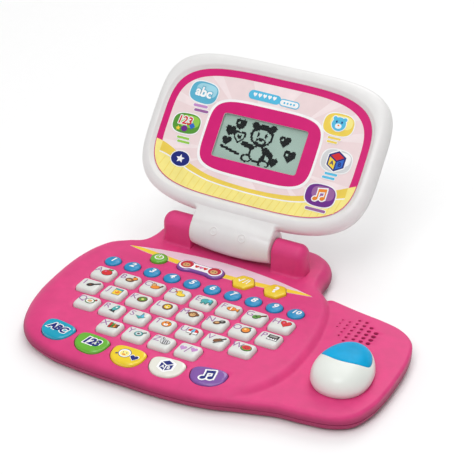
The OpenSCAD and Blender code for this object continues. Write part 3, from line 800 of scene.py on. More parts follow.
# ---------- mouse ----------
def egg(share, a=EGG_HALF[0], b=EGG_HALF[1], n=112):
    """Egg outline, a little squarer towards the user."""
    loop = superloop(1, 1, 2, EGG_NEAR_POWER, n)
    x = a * share * loop[:, 0] * (1 - EGG_TAPER * loop[:, 1])
    return np.stack([x, b * share * loop[:, 1]], 1)


def egg_share(pts):
    """How far out a point is, as a share of the egg outline at that angle."""
    s = pts[:, 1] / EGG_HALF[1]
    low, high = np.zeros(len(pts)), np.full(len(pts), 1.6)
    for _ in range(30):
        mid = (low + high) / 2
        v = np.clip(s / np.maximum(mid, 1e-6), -1, 1)
        power = np.where(v > 0, 2, EGG_NEAR_POWER)
        reach = EGG_HALF[0] * mid * (1 - np.abs(v) ** power) ** (1 / power) * (1 - EGG_TAPER * v)
        out = (np.abs(pts[:, 0]) > reach) | (np.abs(s) > mid)
        low, high = np.where(out, mid, low), np.where(out, high, mid)
    return mid


def mouse_height(pts):
    share = np.clip(egg_share(pts), 0, 1)
    sin = np.sqrt(np.clip(1 - share ** (2 / 0.72), 0, 1))
    return MOUSE_LOW + 5 + MOUSE_RISE * np.minimum(sin / math.sin(math.radians(83)), 1)


def button_loop(grow):
    """The far part of the dome inside a rim, with a round front edge."""
    edge = egg(1, BUTTON_HALF[0] + grow, BUTTON_HALF[1] + grow, 400)
    front = circle(0, BUTTON_Y, BUTTON_R + grow, 400)
    kept = edge[np.hypot(edge[:, 0], edge[:, 1] - BUTTON_Y) < BUTTON_R + grow]
    both = np.concatenate([kept, front[inside(edge, front)]])
    order = np.argsort(np.arctan2(both[:, 1] - 8, both[:, 0]))
    return soften(resample(both[order], 120), 22)


def mouse_parts():
    hole, plug = button_loop(0.3), button_loop(0.0)
    shares = (0.985, 0.96, 0.93, 0.89, 0.84, 0.78, 0.7, 0.6, 0.5, 0.38, 0.25, 0.12)
    rings = np.concatenate([egg(s) for s in shares])
    outer = egg(1.0)
    free = clear_of(rings, [inset(hole, -0.35)], 0.5)
    flat, tris, origin = triangulate([outer, hole], np.concatenate([free, inset(hole, -0.35)]))
    edge = np.array([len(outer) <= o < len(outer) + len(hole) for o in origin])
    rim = np.array([0 <= o < len(outer) for o in origin])
    top = mouse_height(flat) - np.where(edge, 0.25, 0)
    under = np.where(rim, MOUSE_LOW + 4.0, np.maximum(top - 2.2, MOUSE_LOW + 4.0))
    body = thick(flat, tris, top, under)
    low = [(1.0, 5.0), (0.996, 3.8), (0.985, 2.4), (0.965, 1.0), (0.95, 0.0), (0.88, 0.0), (0.9, 4.0)]
    skirt = loft([lifted(egg(s), MOUSE_LOW + z) for s, z in low], ring=True)
    inner = inset(plug, 0.35)
    free = rings[depth(inner, rings)[0] > 0.5]
    flat, tris, origin = triangulate([plug], np.concatenate([free, inner]))
    edge = np.array([0 <= o < len(plug) for o in origin])
    top = mouse_height(flat) - np.where(edge, 0.25, 0)
    button = thick(flat, tris, top, np.maximum(top - 2.2, MOUSE_LOW + 9.2))
    shift = Matrix.Translation(Vector((MOUSE[0] + MOUSE_SHIFT, MOUSE[1], 0)) * MM)
    return body, skirt, button, shift


# ---------- build ----------
def build_base():
    piece("base_top", base_top(), PINK, "base", ["base_top_shell"])
    for side, name in ((-1, "knuckle_left"), (1, "knuckle_right")):
        piece(name, knuckle(side), PINK, "base")
    floor_part, side_part = base_bottom()
    piece("base_side", side_part, PINK, "base", ["base_bottom_shell"])
    piece("base_floor", floor_part, PINK, "base")


LETTER_NAMES = ["key_" + c for c in "abcdefghijklmnopqrstuvwxyz"] + ["key_hearts"]
CATEGORY_NAMES = ["key_words", "key_counting", "key_friends", "key_games", "key_music"]
CATEGORY_MATERIALS = [TEAL, GREEN, YELLOW, CREAM, PURPLE]
FUNCTION_NAMES = ["key_power", "key_people", "key_answer", "key_question"]
FUNCTION_MATERIALS = [GREEN, PURPLE, YELLOW, YELLOW]


def build_keys():
    shape = cap(letter_loop, LETTER_PROFILE)
    for i, name in enumerate(LETTER_NAMES):
        piece(name + "_cap", shape, KEY_WHITE, name, [name], spot(*key_place(i)))
    shape = cap(category_loop, CATEGORY_PROFILE, lambda loop: category_top(loop[:, 1]))
    for i, name in enumerate(CATEGORY_NAMES):
        at = spot(*category_place(i))
        piece(name + "_cap", shape, CATEGORY_MATERIALS[i], name, [name], at)
    for i, name in enumerate(FUNCTION_NAMES):
        at = spot(*FUNCTION_PLACES[i])
        shape = cap(lambda g, k=i: function_loop(k, g), FUNCTION_PROFILE)
        piece(name + "_cap", shape, FUNCTION_MATERIALS[i], name, [name], at)
    for first, name in ((0, "number_keys_left"), (5, "number_keys_right")):
        piece(name + "_domes", number_caps(first), DOME_BLUE, name, [name])


def build_lid():
    piece("lid_front", lid_front(), WHITE, "lid", ["lid_front_shell"], LID, 50)
    floor_part, rim_part = lid_back()
    piece("lid_back", rim_part, WHITE, "lid", ["lid_back_shell"], LID)
    piece("lid_back_floor", floor_part, WHITE, "lid", matrix=LID)
    piece("barrel", barrel(), WHITE, "lid", matrix=LID)
    piece("neck", neck(), WHITE, "lid", matrix=LID, sharp=50)
    piece("barrel_rings", moulded_rings(), WHITE, "lid", matrix=LID)
    flat, tris, _ = triangulate([panel_loop(-0.1), lcd_loop()], [])
    plate = thick(flat, tris, np.full(len(flat), FACE_W), np.full(len(flat), FACE_W - 0.8))
    piece("face_plate", plate, FACE, "lid", ["lid_faceplate"], LID)


def build_mouse():
    body, skirt, button, shift = mouse_parts()
    piece("mouse_dome", body, MOUSE_WHITE, "mouse", ["mouse_body"], shift)
    piece("mouse_skirt", skirt, MOUSE_WHITE, "mouse", matrix=shift)
    piece("mouse_top_button", button, MOUSE_BLUE, "mouse_button", ["mouse_button"], shift)


CAD_FINISH = {
    "battery_cover": PINK, "console_label": LABEL, "main_board": BOARD, "key_mat": RUBBER,
    "speaker": BLACK, "batteries": CELL, "battery_contacts": STEEL, "base_screws": STEEL,
    "feet": FOOT, "hinge_pins": STEEL, "lid_screws": STEEL, "lcd_module": LCD,
    "screen_window": WINDOW, "mouse_base": MOUSE_WHITE, "mouse_carriage": BLACK}


def finish_cad():
    for name, material in CAD_FINISH.items():
        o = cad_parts[name]
        for s in o.material_slots:
            s.material = material
        if not o.material_slots:
            o.data.materials.append(material)


# ---------- printed art ----------
INKS = {
    "red": (214, 40, 44), "pink": (226, 120, 170), "orange": (236, 138, 40), "brown": (128, 78, 40),
    "tan": (214, 168, 110), "yellow": (246, 212, 60), "leaf": (84, 150, 52), "lime": (150, 204, 74),
    "teal": (70, 170, 170), "sky": (84, 190, 228), "blue": (46, 104, 200), "navy": (24, 36, 120),
    "dark": (52, 44, 46), "grey": (150, 150, 146), "silver": (214, 216, 218), "white": (248, 248, 248),
    "lilac": (156, 100, 160), "violet": (110, 40, 140), "plum": (196, 140, 200), "magenta": (212, 20, 116),
    "lemon": (250, 236, 140), "gold": (240, 210, 84), "lcd": (14, 22, 24), "crimson": (196, 40, 60),
    "blush": (246, 230, 231), "aqua": (92, 178, 208), "mist": (160, 214, 230), "straw": (246, 226, 116)}
INK = {name: plastic("ink_" + name, rgb, rough=0.4, vary=0.04, shine=0.3) for name, rgb in INKS.items()}
GLYPHS = {}


def glyph(text, fat, lean):
    """(points, faces) of lettering one unit high, centred on the origin."""
    key = (text, fat, lean)
    if key not in GLYPHS:
        curve = bpy.data.curves.new("glyph", "FONT")
        curve.body = text
        curve.offset = fat
        curve.shear = lean
        curve.resolution_u = 4
        curve.align_x = "CENTER"
        curve.align_y = "CENTER"
        o = bpy.data.objects.new("glyph", curve)
        mesh = bpy.data.meshes.new_from_object(o)
        points = np.array([v.co[:2] for v in mesh.vertices]).reshape(-1, 2)
        faces = [tuple(p.vertices) for p in mesh.polygons]
        bpy.data.objects.remove(o)
        bpy.data.curves.remove(curve)
        bpy.data.meshes.remove(mesh)
        GLYPHS[key] = points, faces
    return GLYPHS[key]


def oval(x, y, a, b, turn=0.0, n=28):
    return turned(circle(0, 0, 1, n) * (a, b), x, y, turn)


def bar(x, y, a, b, turn=0.0):
    """Rectangle of half sizes a and b."""
    return turned(np.array([(-a, -b), (a, -b), (a, b), (-a, b)], float), x, y, turn)


def wedge(x, y, a, b, turn=0.0):
    return turned(np.array([(-a, -b), (a, -b), (0, b)], float), x, y, turn)


def heart(x, y, a, b, turn=0.0, n=40):
    t = np.arange(n) * 2 * math.pi / n
    px = 16 * np.sin(t) ** 3
    py = 13 * np.cos(t) - 5 * np.cos(2 * t) - 2 * np.cos(3 * t) - np.cos(4 * t)
    return turned(np.stack([-px / 16 * a, (py + 2.5) / 14.5 * b], 1), x, y, turn)


def star(x, y, a, b, turn=0.0):
    t = math.pi / 2 + np.arange(10) * math.pi / 5
    r = np.where(np.arange(10) % 2 == 0, 1, 0.46)
    return turned(np.stack([a * r * np.cos(t), b * r * np.sin(t)], 1), x, y, turn)


def pill(x, y, a, b, turn=0.0):
    return turned(rounded(2 * a, 2 * b, min(a, b) * 0.98, 8), x, y, turn)


def bubble(x, y, a, b, turn=0.0):
    return turned(superloop(a, b, 2.7, 2.7, 56), x, y, turn)


SHAPES = {"oval": oval, "bar": bar, "wedge": wedge, "heart": heart, "star": star, "bubble": bubble}


def marks(text):
    """Reads "shape x y a b ink turn" between semicolons; turn may be left out."""
    out = []
    for one in text.split(";"):
        kind, x, y, a, b, ink, *turn = one.split()
        out.append((kind, float(x), float(y), float(a), float(b), float(turn[0]) if turn else 0.0, ink))
    return out


def fattened(parts, by, ink):
    """The same marks, larger all round and in one ink."""
    return [(k, x, y, a + by, b + by, turn, ink) for k, x, y, a, b, turn, *_ in parts]


class Art:
    """Flat shapes in several inks, laid in thin steps."""

    def __init__(self):
        self.points, self.faces, self.inks = [], [], []

    def add(self, points, faces, ink, layer):
        k = len(self.points)
        self.points += [(float(p[0]), float(p[1]), layer) for p in points]
        self.faces += [tuple(i + k for i in f) for f in faces]
        self.inks += [ink] * len(faces)

    def fill(self, loop, ink, layer, hole=None):
        loops = [loop] if hole is None else [loop, hole]
        tris = tessellate_polygon([[Vector((p[0], p[1], 0)) for p in one] for one in loops])
        self.add(np.concatenate(loops), tris, ink, layer)

    def draw(self, marks, x=0.0, y=0.0, scale=1.0, layer=1, tall=1.0):
        """Each mark is (shape, x, y, a, b, turn, ink), laid over the one before."""
        for k, (kind, mx, my, a, b, turn, ink) in enumerate(marks):
            loop = SHAPES[kind](mx * scale, my * scale, a * scale, b * scale, turn)
            self.fill(loop * (1, tall) + (x, y), ink, layer + k)

    def write(self, text, x, y, size, ink, layer, fat=0.0, lean=0.0, turn=0.0):
        points, faces = glyph(text, fat, lean)
        self.add(turned(points * size, x, y, turn), faces, ink, layer)

    def sliced(self, step):
        """Cuts the shapes into small tiles, so that they can follow a curved surface."""
        names = self.names()
        bm = bmesh.new()
        verts = [bm.verts.new(p) for p in self.points]
        for face, ink in zip(self.faces, self.inks):
            bm.faces.new([verts[i] for i in face]).material_index = names.index(ink)
        reach = np.array(self.points)
        for axis in (0, 1):
            normal = (1, 0, 0) if axis == 0 else (0, 1, 0)
            for at in np.arange(reach[:, axis].min(), reach[:, axis].max(), step)[1:]:
                place_at = (at, 0, 0) if axis == 0 else (0, at, 0)
                parts = bm.verts[:] + bm.edges[:] + bm.faces[:]
                bmesh.ops.bisect_plane(bm, geom=parts, plane_co=place_at, plane_no=normal, dist=1e-5)
        bm.verts.index_update()
        self.points = [tuple(v.co) for v in bm.verts]
        self.faces = [tuple(v.index for v in f.verts) for f in bm.faces]
        self.inks = [names[f.material_index] for f in bm.faces]
        bm.free()
        return self

    def names(self):
        return sorted(set(self.inks))

    def piece(self, name, body, height, slot=None, matrix=None, step=LAYER):
        """height gives the surface's height at a place, or is one number."""
        mesh = bpy.data.meshes.new(name)
        level = height if callable(height) else lambda x, y: height
        mesh.from_pydata(
            [(x * MM, y * MM, (level(x, y) + step * k) * MM) for x, y, k in self.points], [], self.faces)
        names = self.names()
        for ink in names:
            mesh.materials.append(INK[ink])
        mesh.polygons.foreach_set("material_index", [names.index(i) for i in self.inks])
        mesh.validate()
        flip = [p.index for p in mesh.polygons if p.normal.z < 0]
        if flip:
            bm = bmesh.new()
            bm.from_mesh(mesh)
            bm.faces.ensure_lookup_table()
            bmesh.ops.reverse_faces(bm, faces=[bm.faces[i] for i in flip])
            bm.to_mesh(mesh)
            bm.free()
        return place(name, mesh, body, (), matrix)


ICONS = {
    "a": "oval 0 -0.3 2.7 2.1 red; oval 0.9 2.1 1 0.4 leaf 0.5; bar 0 1.9 0.18 0.6 brown; "
         "oval -1 0.4 0.6 0.4 pink 0.6",
    "b": "oval -0.4 -0.7 2.2 1.4 brown; oval 1.6 0.9 1.2 1.1 orange; oval 0.7 1.9 0.4 0.4 brown; "
         "oval -0.6 -1 1.2 0.7 tan",
    "c": "oval 0 -0.6 2.4 1.3 orange 0.2; oval -1.6 0.9 1.1 1 tan; wedge -2.3 1.9 0.4 0.4 brown; "
         "bar 2.3 0.6 0.25 1.1 brown -0.5",
    "d": "oval 0.2 -0.8 2.3 1.2 yellow; oval -1.3 0.9 1.2 1.1 yellow; oval -2.6 0.7 0.8 0.35 orange; "
         "oval -1.3 1.1 0.25 0.3 dark",
    "e": "oval -0.5 0.1 2.3 1.5 teal; oval 1.8 0.5 1.2 1.3 teal; bar -1.6 -1.6 0.45 0.7 teal; "
         "bar 0.4 -1.6 0.45 0.7 teal; bar 2.7 -0.9 0.3 1 teal; oval 1.4 0.6 0.7 0.9 sky",
    "f": "oval -0.4 0 2.3 1.4 orange; wedge 2.3 0 1.2 1 orange 1.57; bar -0.6 0 0.25 1.2 white; "
         "oval -1.7 0.4 0.25 0.25 dark",
    "g": "oval -1.2 -0.7 1.5 1.3 leaf; oval 0.1 0.1 1.1 1 leaf; bar 1.7 1.1 1.6 0.28 brown 0.55; "
         "oval -0.9 -0.5 0.5 0.5 dark",
    "h": "heart 0 0 2.6 2.3 red; oval -1 0.8 0.5 0.35 pink 0.5",
    "i": "oval -1.1 -0.5 1.7 1.1 dark 0.4; bar 1.4 0.9 1.9 0.3 dark 0.55; "
         "oval -1.1 -0.5 0.6 0.4 brown 0.4",
    "j": "bar 0 -0.3 1.9 1.9 yellow; bar 0 1.7 2 0.5 teal; oval 0.2 -0.4 1.2 1.1 orange; "
         "oval -0.4 0.1 0.4 0.3 lemon",
    "k": "oval 0 0 2.4 1.9 brown 0.3; oval 0.2 0.1 1.8 1.4 leaf 0.3; oval 0.2 0.1 0.7 0.5 lemon 0.3",
    "l": "oval 0 0 2.4 2.2 brown; oval 0 0 1.6 1.5 yellow; oval -0.6 0.3 0.25 0.3 dark; "
         "oval 0.6 0.3 0.25 0.3 dark; oval 0 -0.5 0.6 0.35 white",
    "m": "oval -2 0.3 0.8 0.8 brown; oval 2 0.3 0.8 0.8 brown; oval 0 0 2 2 brown; "
         "oval 0 -0.4 1.4 1.3 tan; oval -0.5 0.1 0.2 0.3 dark; oval 0.5 0.1 0.2 0.3 dark",
    "n": "oval -0.8 -0.7 1.7 1.1 brown 0.4; oval 1.1 0.7 1.5 1 dark 0.4; oval -0.8 -0.6 1 0.6 tan 0.4; "
         "oval 1.1 0.8 0.7 0.4 grey 0.4",
    "o": "oval 0 0 2.2 2 dark; oval 0 0 1.9 1.7 orange; oval -0.5 0.5 0.6 0.5 lemon; "
         "oval 0.9 1.9 0.7 0.3 leaf 0.5",
    "p": "bar 0 0.5 2.5 1.5 dark; bar 0 -0.9 2.4 0.5 white; bar -1 -0.7 0.25 0.3 dark; "
         "bar 0.2 -0.7 0.25 0.3 dark; bar 1.4 -0.7 0.25 0.3 dark; bar 0 0.9 1.9 0.6 grey",
    "q": "oval -0.3 -0.1 2.3 1.8 leaf; oval -0.3 -0.1 2 1.5 white; bubble -0.3 -0.1 1.2 0.9 tan; "
         "oval 2.2 1.4 0.45 0.4 red",
    "r": "oval 0 0.2 1.2 2.3 teal -0.3; wedge -1.1 -1.6 0.9 0.7 dark -0.3; "
         "wedge 0.4 -1.9 0.9 0.7 dark -0.3; oval 0.2 0.8 0.5 0.5 white",
    "s": "wedge 0 -1.1 2.7 0.9 teal 3.14; wedge 0.5 0.9 1.3 1.4 sky; bar 0.3 0.5 0.15 1.7 brown",
    "t": "oval 0 0 2.3 1.9 orange; bar -0.9 1 0.2 0.6 dark 0.3; bar 0.9 1 0.2 0.6 dark -0.3; "
         "oval 0 -0.6 1.1 0.8 white; oval 0 -0.3 0.35 0.25 dark",
    "u": "oval 0 0.5 2.6 1.6 red; bar 0 -0.7 2.7 0.6 white; oval 0 0.6 0.8 1.5 sky; "
         "bar 0 -0.9 0.16 1.5 brown",
    "v": "oval -1 -0.8 1.4 1.1 brown 0.6; oval 0.2 0.1 1.1 0.9 brown 0.6; bar 1.5 1.1 1.3 0.22 dark 0.7; "
         "bar 0.3 -1.4 2.2 0.14 grey 0.7",
    "w": "oval 0 0 2.6 1.9 leaf; oval 0 0.3 2.2 1.5 red; oval -0.8 0.3 0.22 0.3 dark; "
         "oval 0.8 0.3 0.22 0.3 dark; oval 0 -0.3 0.22 0.3 dark",
    "x": "bar -1.7 0 0.5 1.8 red 0.1; bar -0.5 0 0.5 1.5 leaf 0.1; bar 0.7 0 0.5 1.2 orange 0.1; "
         "bar 1.8 0 0.45 0.9 brown 0.1; bar 0.1 0.1 2.5 0.16 dark 0.5",
    "y": "oval -0.2 -0.2 2 1.6 teal; oval -0.2 -0.2 1.4 1.1 silver; oval -0.2 -0.2 0.7 0.5 dark; "
         "bar 1.9 1.3 1 0.12 dark 0.6",
    "z": "oval 0 -0.2 2.3 1.5 silver; oval -1.9 1.1 0.9 0.9 silver; bar -0.9 -0.2 0.2 1.3 dark 0.2; "
         "bar 0.1 -0.2 0.2 1.4 dark 0.2; bar 1.1 -0.2 0.2 1.2 dark 0.2; bar -1.9 1.5 0.2 0.7 dark 0.4"}


def print_letter_keys():
    for i, name in enumerate(LETTER_NAMES):
        art = Art()
        if name == "key_hearts":
            art.draw(marks("heart -4.4 -0.6 2.9 3.1 plum; heart 4.4 0.6 2.9 3.1 plum; "
                           "bar 0 0 0.45 4.6 lilac -0.25"))
        else:
            art.write(name[4].upper(), -4.9, 1.4, 9.2, "lilac", 1)
            icon = marks(ICONS[name[4]])
            art.draw(fattened(icon, 0.22, "dark"), 3.1, 0.3, 1.66, 2, 1.12)
            art.draw(icon, 3.1, 0.3, 1.66, len(icon) + 2, 1.12)
        art.piece(name + "_print", name, LETTER_TOP, matrix=spot(*key_place(i)), step=FINE_LAYER)


def print_number_keys():
    for first, name in ((0, "number_keys_left"), (5, "number_keys_right")):
        art = Art()
        places = [number_place(i) for i in range(first, first + 5)]
        for k, (x, y) in enumerate(places):
            label = str(first + k + 1)
            size = 8.6 if len(label) == 1 else 7.4
            art.write(label, x + 0.1, y + 0.4, size, "white", 1, 0.03, 0.2)

        def dome(x, y, places=places):
            near = min(places, key=lambda p: abs(p[0] - x))
            return float(dome_height(x - near[0], y - near[1])) + 0.02
        art.sliced(0.9).piece(name + "_print", name, dome, step=0.05)


NOTE = [
    ("oval", -2.2, -2.4, 1.6, 1.2, 0.3), ("oval", 2.4, -1.6, 1.6, 1.2, 0.3),
    ("bar", -0.9, 0.4, 0.45, 2.9, 0), ("bar", 3.7, 1.2, 0.45, 2.9, 0), ("bar", 1.4, 3.4, 2.7, 0.95, 0.17)]


def note(art, x, y, scale, layer, edge, fill):
    """Two joined notes with an outline: edge and fill are (how much larger, ink)."""
    art.draw(fattened(NOTE, *edge), x, y, scale, layer)
    art.draw(fattened(NOTE, *fill), x, y, scale, layer + len(NOTE))


def hexagon(x, y, r):
    return circle(x, y, r, 6, math.pi / 2)


def block(art, x, y, r, inks, layer):
    """Toy block seen from a corner: inks are (outline, top, left, right)."""
    art.fill(hexagon(x, y, r * 1.22), "white", layer)
    art.fill(hexagon(x, y, r * 1.08), inks[0], layer + 1)
    c, s = r * 0.82 * math.cos(math.pi / 6), r * 0.82 * 0.5
    gap = r * 0.07
    top = [(x, y + gap), (x + c, y + s + gap), (x, y + 2 * s + gap), (x - c, y + s + gap)]
    near, far = x - gap, x - gap - c
    left = [(near, y - gap), (far, y + s - gap), (far, y - s - gap), (near, y - 2 * s - gap)]
    art.fill(np.array(top), inks[1], layer + 2)
    art.fill(np.array(left), inks[2], layer + 2)
    art.fill(np.array([(2 * x - px, py) for px, py in left]), inks[3], layer + 2)


def category_art(i):
    art = Art()
    if i < 2:
        text, size = (("ABC", 8.8), ("123", 9.8))[i]
        art.write(text, 0, 0.6, size, "white", 1, 0.14, 0.2)
        art.write(text, 0, 0.6, size, "navy", 2, 0.055, 0.2)
    if i == 2:
        art.draw(marks("oval -2.6 0.9 5.4 4.9 navy; oval -2.6 0.9 4.9 4.4 white; "
                       "oval -2.6 0.6 3.9 3.2 lemon; oval -4.2 1.4 0.4 0.6 navy; "
                       "oval -1.2 1.4 0.4 0.6 navy; oval -2.7 -0.8 1.6 0.8 orange; "
                       "oval -8.6 -1.6 1.1 0.7 navy 0.5; heart 6.8 -1.8 4 3.5 white; "
                       "heart 6.8 -1.8 3.4 2.9 navy"))
    if i == 3:
        block(art, 0, 0.6, 6.4, ("white", "navy", "navy", "navy"), 1)
        art.write("A", -2.4, -1.4, 4.2, "white", 4, 0.03)
        art.write("B", 2.4, -1.4, 4.2, "white", 4, 0.03)
    if i == 4:
        note(art, -0.6, 0.0, 1.25, 1, (1.2, "white"), (0.15, "navy"))
    return art


def print_console():
    for i, name in enumerate(CATEGORY_NAMES):
        at = spot(*category_place(i))
        category_art(i).piece(name + "_print", name, lambda _, y: category_top(y), matrix=at, step=FINE_LAYER)
    prints = {
        "key_power": marks("oval 0 0.2 4.1 3.8 white; oval 0 0.2 3.1 2.8 lime; bar 0 2.6 1.1 1.9 lime; "
                           "bar 0 2.2 0.5 2 white"),
        "key_people": marks("oval -13.4 0 6.4 6.4 white; oval 13.4 0 6.4 6.4 white; "
                            "bar 0 0 13 4.3 white; oval -13 0.5 5.6 5.4 crimson; "
                            "oval 13 0.5 5.6 5.4 crimson; oval -13 -0.6 3.3 3 tan; "
                            "oval 13 -0.6 3.3 3 tan; oval -14.2 -0.3 0.5 0.7 dark; "
                            "oval -11.8 -0.3 0.5 0.7 dark; oval 11.8 -0.3 0.5 0.7 dark; "
                            "oval 14.2 -0.3 0.5 0.7 dark; heart -3.6 0 1.9 2 red; "
                            "heart 0.4 0 1.9 2 pink; heart 4.4 0 1.9 2 red"),
        "key_answer": marks("bar -3.9 0.1 0.55 1.5 white 0.7; bar -1.9 1 0.55 3.2 white -0.5; "
                            "bar 1.6 0.4 0.45 3.6 white -0.3; bar 4.3 1.4 0.6 2 white -0.15; "
                            "oval 3.9 -2.2 0.75 0.7 white"),
        "key_question": []}
    for i, name in enumerate(FUNCTION_NAMES):
        art = Art()
        art.draw(prints[name])
        if name == "key_question":
            art.write("?", 0, 0.4, 11.5, "white", 1, 0.05, 0.0)
        art.piece(name + "_print", name, FUNCTION_TOP, matrix=spot(*FUNCTION_PLACES[i]), step=FINE_LAYER)
    art = Art()
    u = np.linspace(-0.985, 0.985, 40)
    low = np.stack([AXIS[0] + CONSOLE_HALF * u, 43 - 9 * (1 - u * u) + 0.25], 1)
    high = np.stack([low[:, 0], low[:, 1] + 5.6 * (1 - u ** 8)], 1)
    holes = [turned(function_loop(i, KEY_GAP), *FUNCTION_PLACES[i]) for i in range(4)]
    flat, tris, _ = triangulate([np.concatenate([low, high[::-1]])] + holes, [])
    art.add(flat, tris, "yellow", 1)
    art.piece("console_stripe", "base", 20.8, "printed_label", step=0.04)


def face_loop(e):
    """Outline of the face plate in the print's own frame, whose middle is the screen's."""
    return panel_loop(e) - (0, LCD_V)


def badge(art, x, y, a, b, base, light, layer, turn=0.0):
    """Glossy bubble with a white edge and a paler upper part."""
    art.fill(bubble(x, y, a + 0.9, b + 0.9, turn), "white", layer)
    art.fill(bubble(x, y, a, b, turn), base, layer + 1)
    art.fill(bubble(x + 0.14 * a, y + 0.24 * b, a * 0.76, b * 0.62, turn), light, layer + 2)


def picture_on(x, y):
    """True where the liquid-crystal picture is dark: a generic cub among hearts."""
    def ball(cx, cy, a, b):
        return ((x - cx) / a) ** 2 + ((y - cy) / b) ** 2

    def love(cx, cy, r):
        px, py = (x - cx) / r, (y - cy) / r + 0.1
        return (px * px + py * py - 0.6) ** 3 - px * px * py ** 3 * 1.3 < 0

    def stroke(x0, y0, x1, y1, w):
        share = ((x - x0) * (x1 - x0) + (y - y0) * (y1 - y0)) / ((x1 - x0) ** 2 + (y1 - y0) ** 2)
        t = max(0, min(1, share))
        return math.hypot(x - x0 - t * (x1 - x0), y - y0 - t * (y1 - y0)) < w
    if love(20.5, 6.5, 5.6) or love(28.5, -5.0, 6.0) or love(15.5, -13.0, 4.6):
        return not (ball(18.6, 8.0, 1.0, 1.1) < 1 or ball(26.4, -3.4, 1.1, 1.2) < 1)
    if love(-23.0, 12.5, 5.6) or love(-30.5, 5.5, 5.2):
        return ball(-24.6, 14.0, 1.0, 1.1) > 1
    if love(-21.0, 1.6, 6.2):
        return not love(-21.0, 1.6, 4.2) or love(-21.0, 1.8, 2.4)
    if love(-31.5, -3.6, 4.6) or stroke(-35, -8.5, -17, -12.5, 1.2):
        return True
    head = ball(-1.0, 7.5, 10.8, 9.6)
    if head < 1:
        if head > 0.66 or y > 12.2 - 0.045 * (x + 1) ** 2:
            return True
        if ball(-4.6, 7.8, 1.2, 2.2) < 1 or ball(2.8, 7.8, 1.2, 2.2) < 1:
            return True
        muzzle = ball(-0.8, 2.4, 5.0, 2.8)
        return 0.42 < muzzle < 1 or ball(-0.8, 3.4, 1.6, 1.1) < 1
    if ball(-9.6, 15.4, 3.2, 3.0) < 1 or ball(7.6, 15.4, 3.2, 3.0) < 1:
        return True
    if stroke(-6.5, -4.2, -15.5, -2.5, 2.2) or stroke(6.0, -4.2, 12.0, -8.0, 2.6):
        return True
    body = ball(-0.5, -8.5, 8.2, 7.6)
    if body < 1:
        return body > 0.6 or (x > 2 and body > 0.3)
    for cx, cy in ((-9.0, -14.2), (7.6, -16.0)):
        foot = ball(cx, cy, 5.6, 3.5)
        if foot < 1:
            return foot > 0.36
    return False


def screen_picture():
    art = Art()
    size = 0.98
    for row in range(-18, 19):
        y = row * size
        start = None
        for column in range(-39, 41):
            on = column < 40 and picture_on(column * size, y)
            if on and start is None:
                start = column
            if not on and start is not None:
                left, right = (start - 0.5) * size, (column - 0.5) * size
                art.fill(bar((left + right) / 2, y, (right - left) / 2, size / 2), "lcd", 0)
                start = None
    art.piece("screen_picture", "lid", 9.6, "lcd_panel", FACE_PLACE)


def face_rays(art):
    """Border of the face plate and faint rays between it and the screen's frame."""
    art.fill(face_loop(-0.3), "magenta", 1, face_loop(-6.5))
    field = face_loop(-6.6)
    middle = superloop(50, 29, 4.6, 4.6, LID_POINTS)
    for k in range(6, LID_POINTS - 8, 17):
        art.fill(np.vstack([field[k:k + 7], middle[k + 2:k + 5][::-1]]), "blush", 1)


def face_wave(art):
    """Yellow hills along the lower edge, with a darker band and a hatch below it."""
    edge = np.array([
        (-95.3, -15.7), (-85.6, -17.3), (-75.9, -21.1), (-56.1, -30.9), (-38.1, -36.3), (-21.4, -38.3),
        (2.5, -39.3), (23.1, -38.7), (41.6, -36.7), (54.5, -33.2), (77.8, -23.1), (95.3, -15.2)])
    rim = face_loop(-0.9)
    low = rim[rim[:, 1] < -16.4]
    u = np.linspace(low[:, 0].min(), low[:, 0].max(), 60)
    top = np.stack([u, np.interp(u, edge[:, 0], edge[:, 1])], 1)
    for _ in range(3):
        top[1:-1, 1] = (top[:-2, 1] + 2 * top[1:-1, 1] + top[2:, 1]) / 4
    art.fill(np.concatenate([low, top[::-1]]), "lemon", 2)
    band = 3.4 + 6.5 * (np.abs(u) / 95) ** 2.4
    under = np.stack([u, top[:, 1] - band], 1)[2:-2]
    art.fill(np.concatenate([under, top[2:-2][::-1]]), "gold", 3)
    art.fill(np.concatenate([under - (0, 1.1), under[::-1]]), "white", 3)
    for k in range(3, 56, 2):
        foot = np.array([u[k], np.interp(u[k] - 1.5, low[:, 0], low[:, 1])])
        head = np.array([u[k] + 3.5, np.interp(u[k] + 3.5, u, top[:, 1]) - band[k] - 1.6])
        if head[1] - foot[1] > 3:
            foot[1] += 0.8
            art.fill(np.array([foot, foot + (0.9, 0), head + (0.9, 0), head]), "straw", 3)


def face_frame(art):
    """Frame round the screen, with a white edge."""
    bezel = superloop(52, 31, 4.6, 4.6, 96)
    hole = superloop(SCREEN_HALF[0] + 0.1, SCREEN_HALF[1] + 0.1, SCREEN_POWER, SCREEN_POWER, 96)
    art.fill(bezel * (54.2 / 52, 33.2 / 31), "white", 4, hole)
    art.fill(bezel, "magenta", 5, hole)


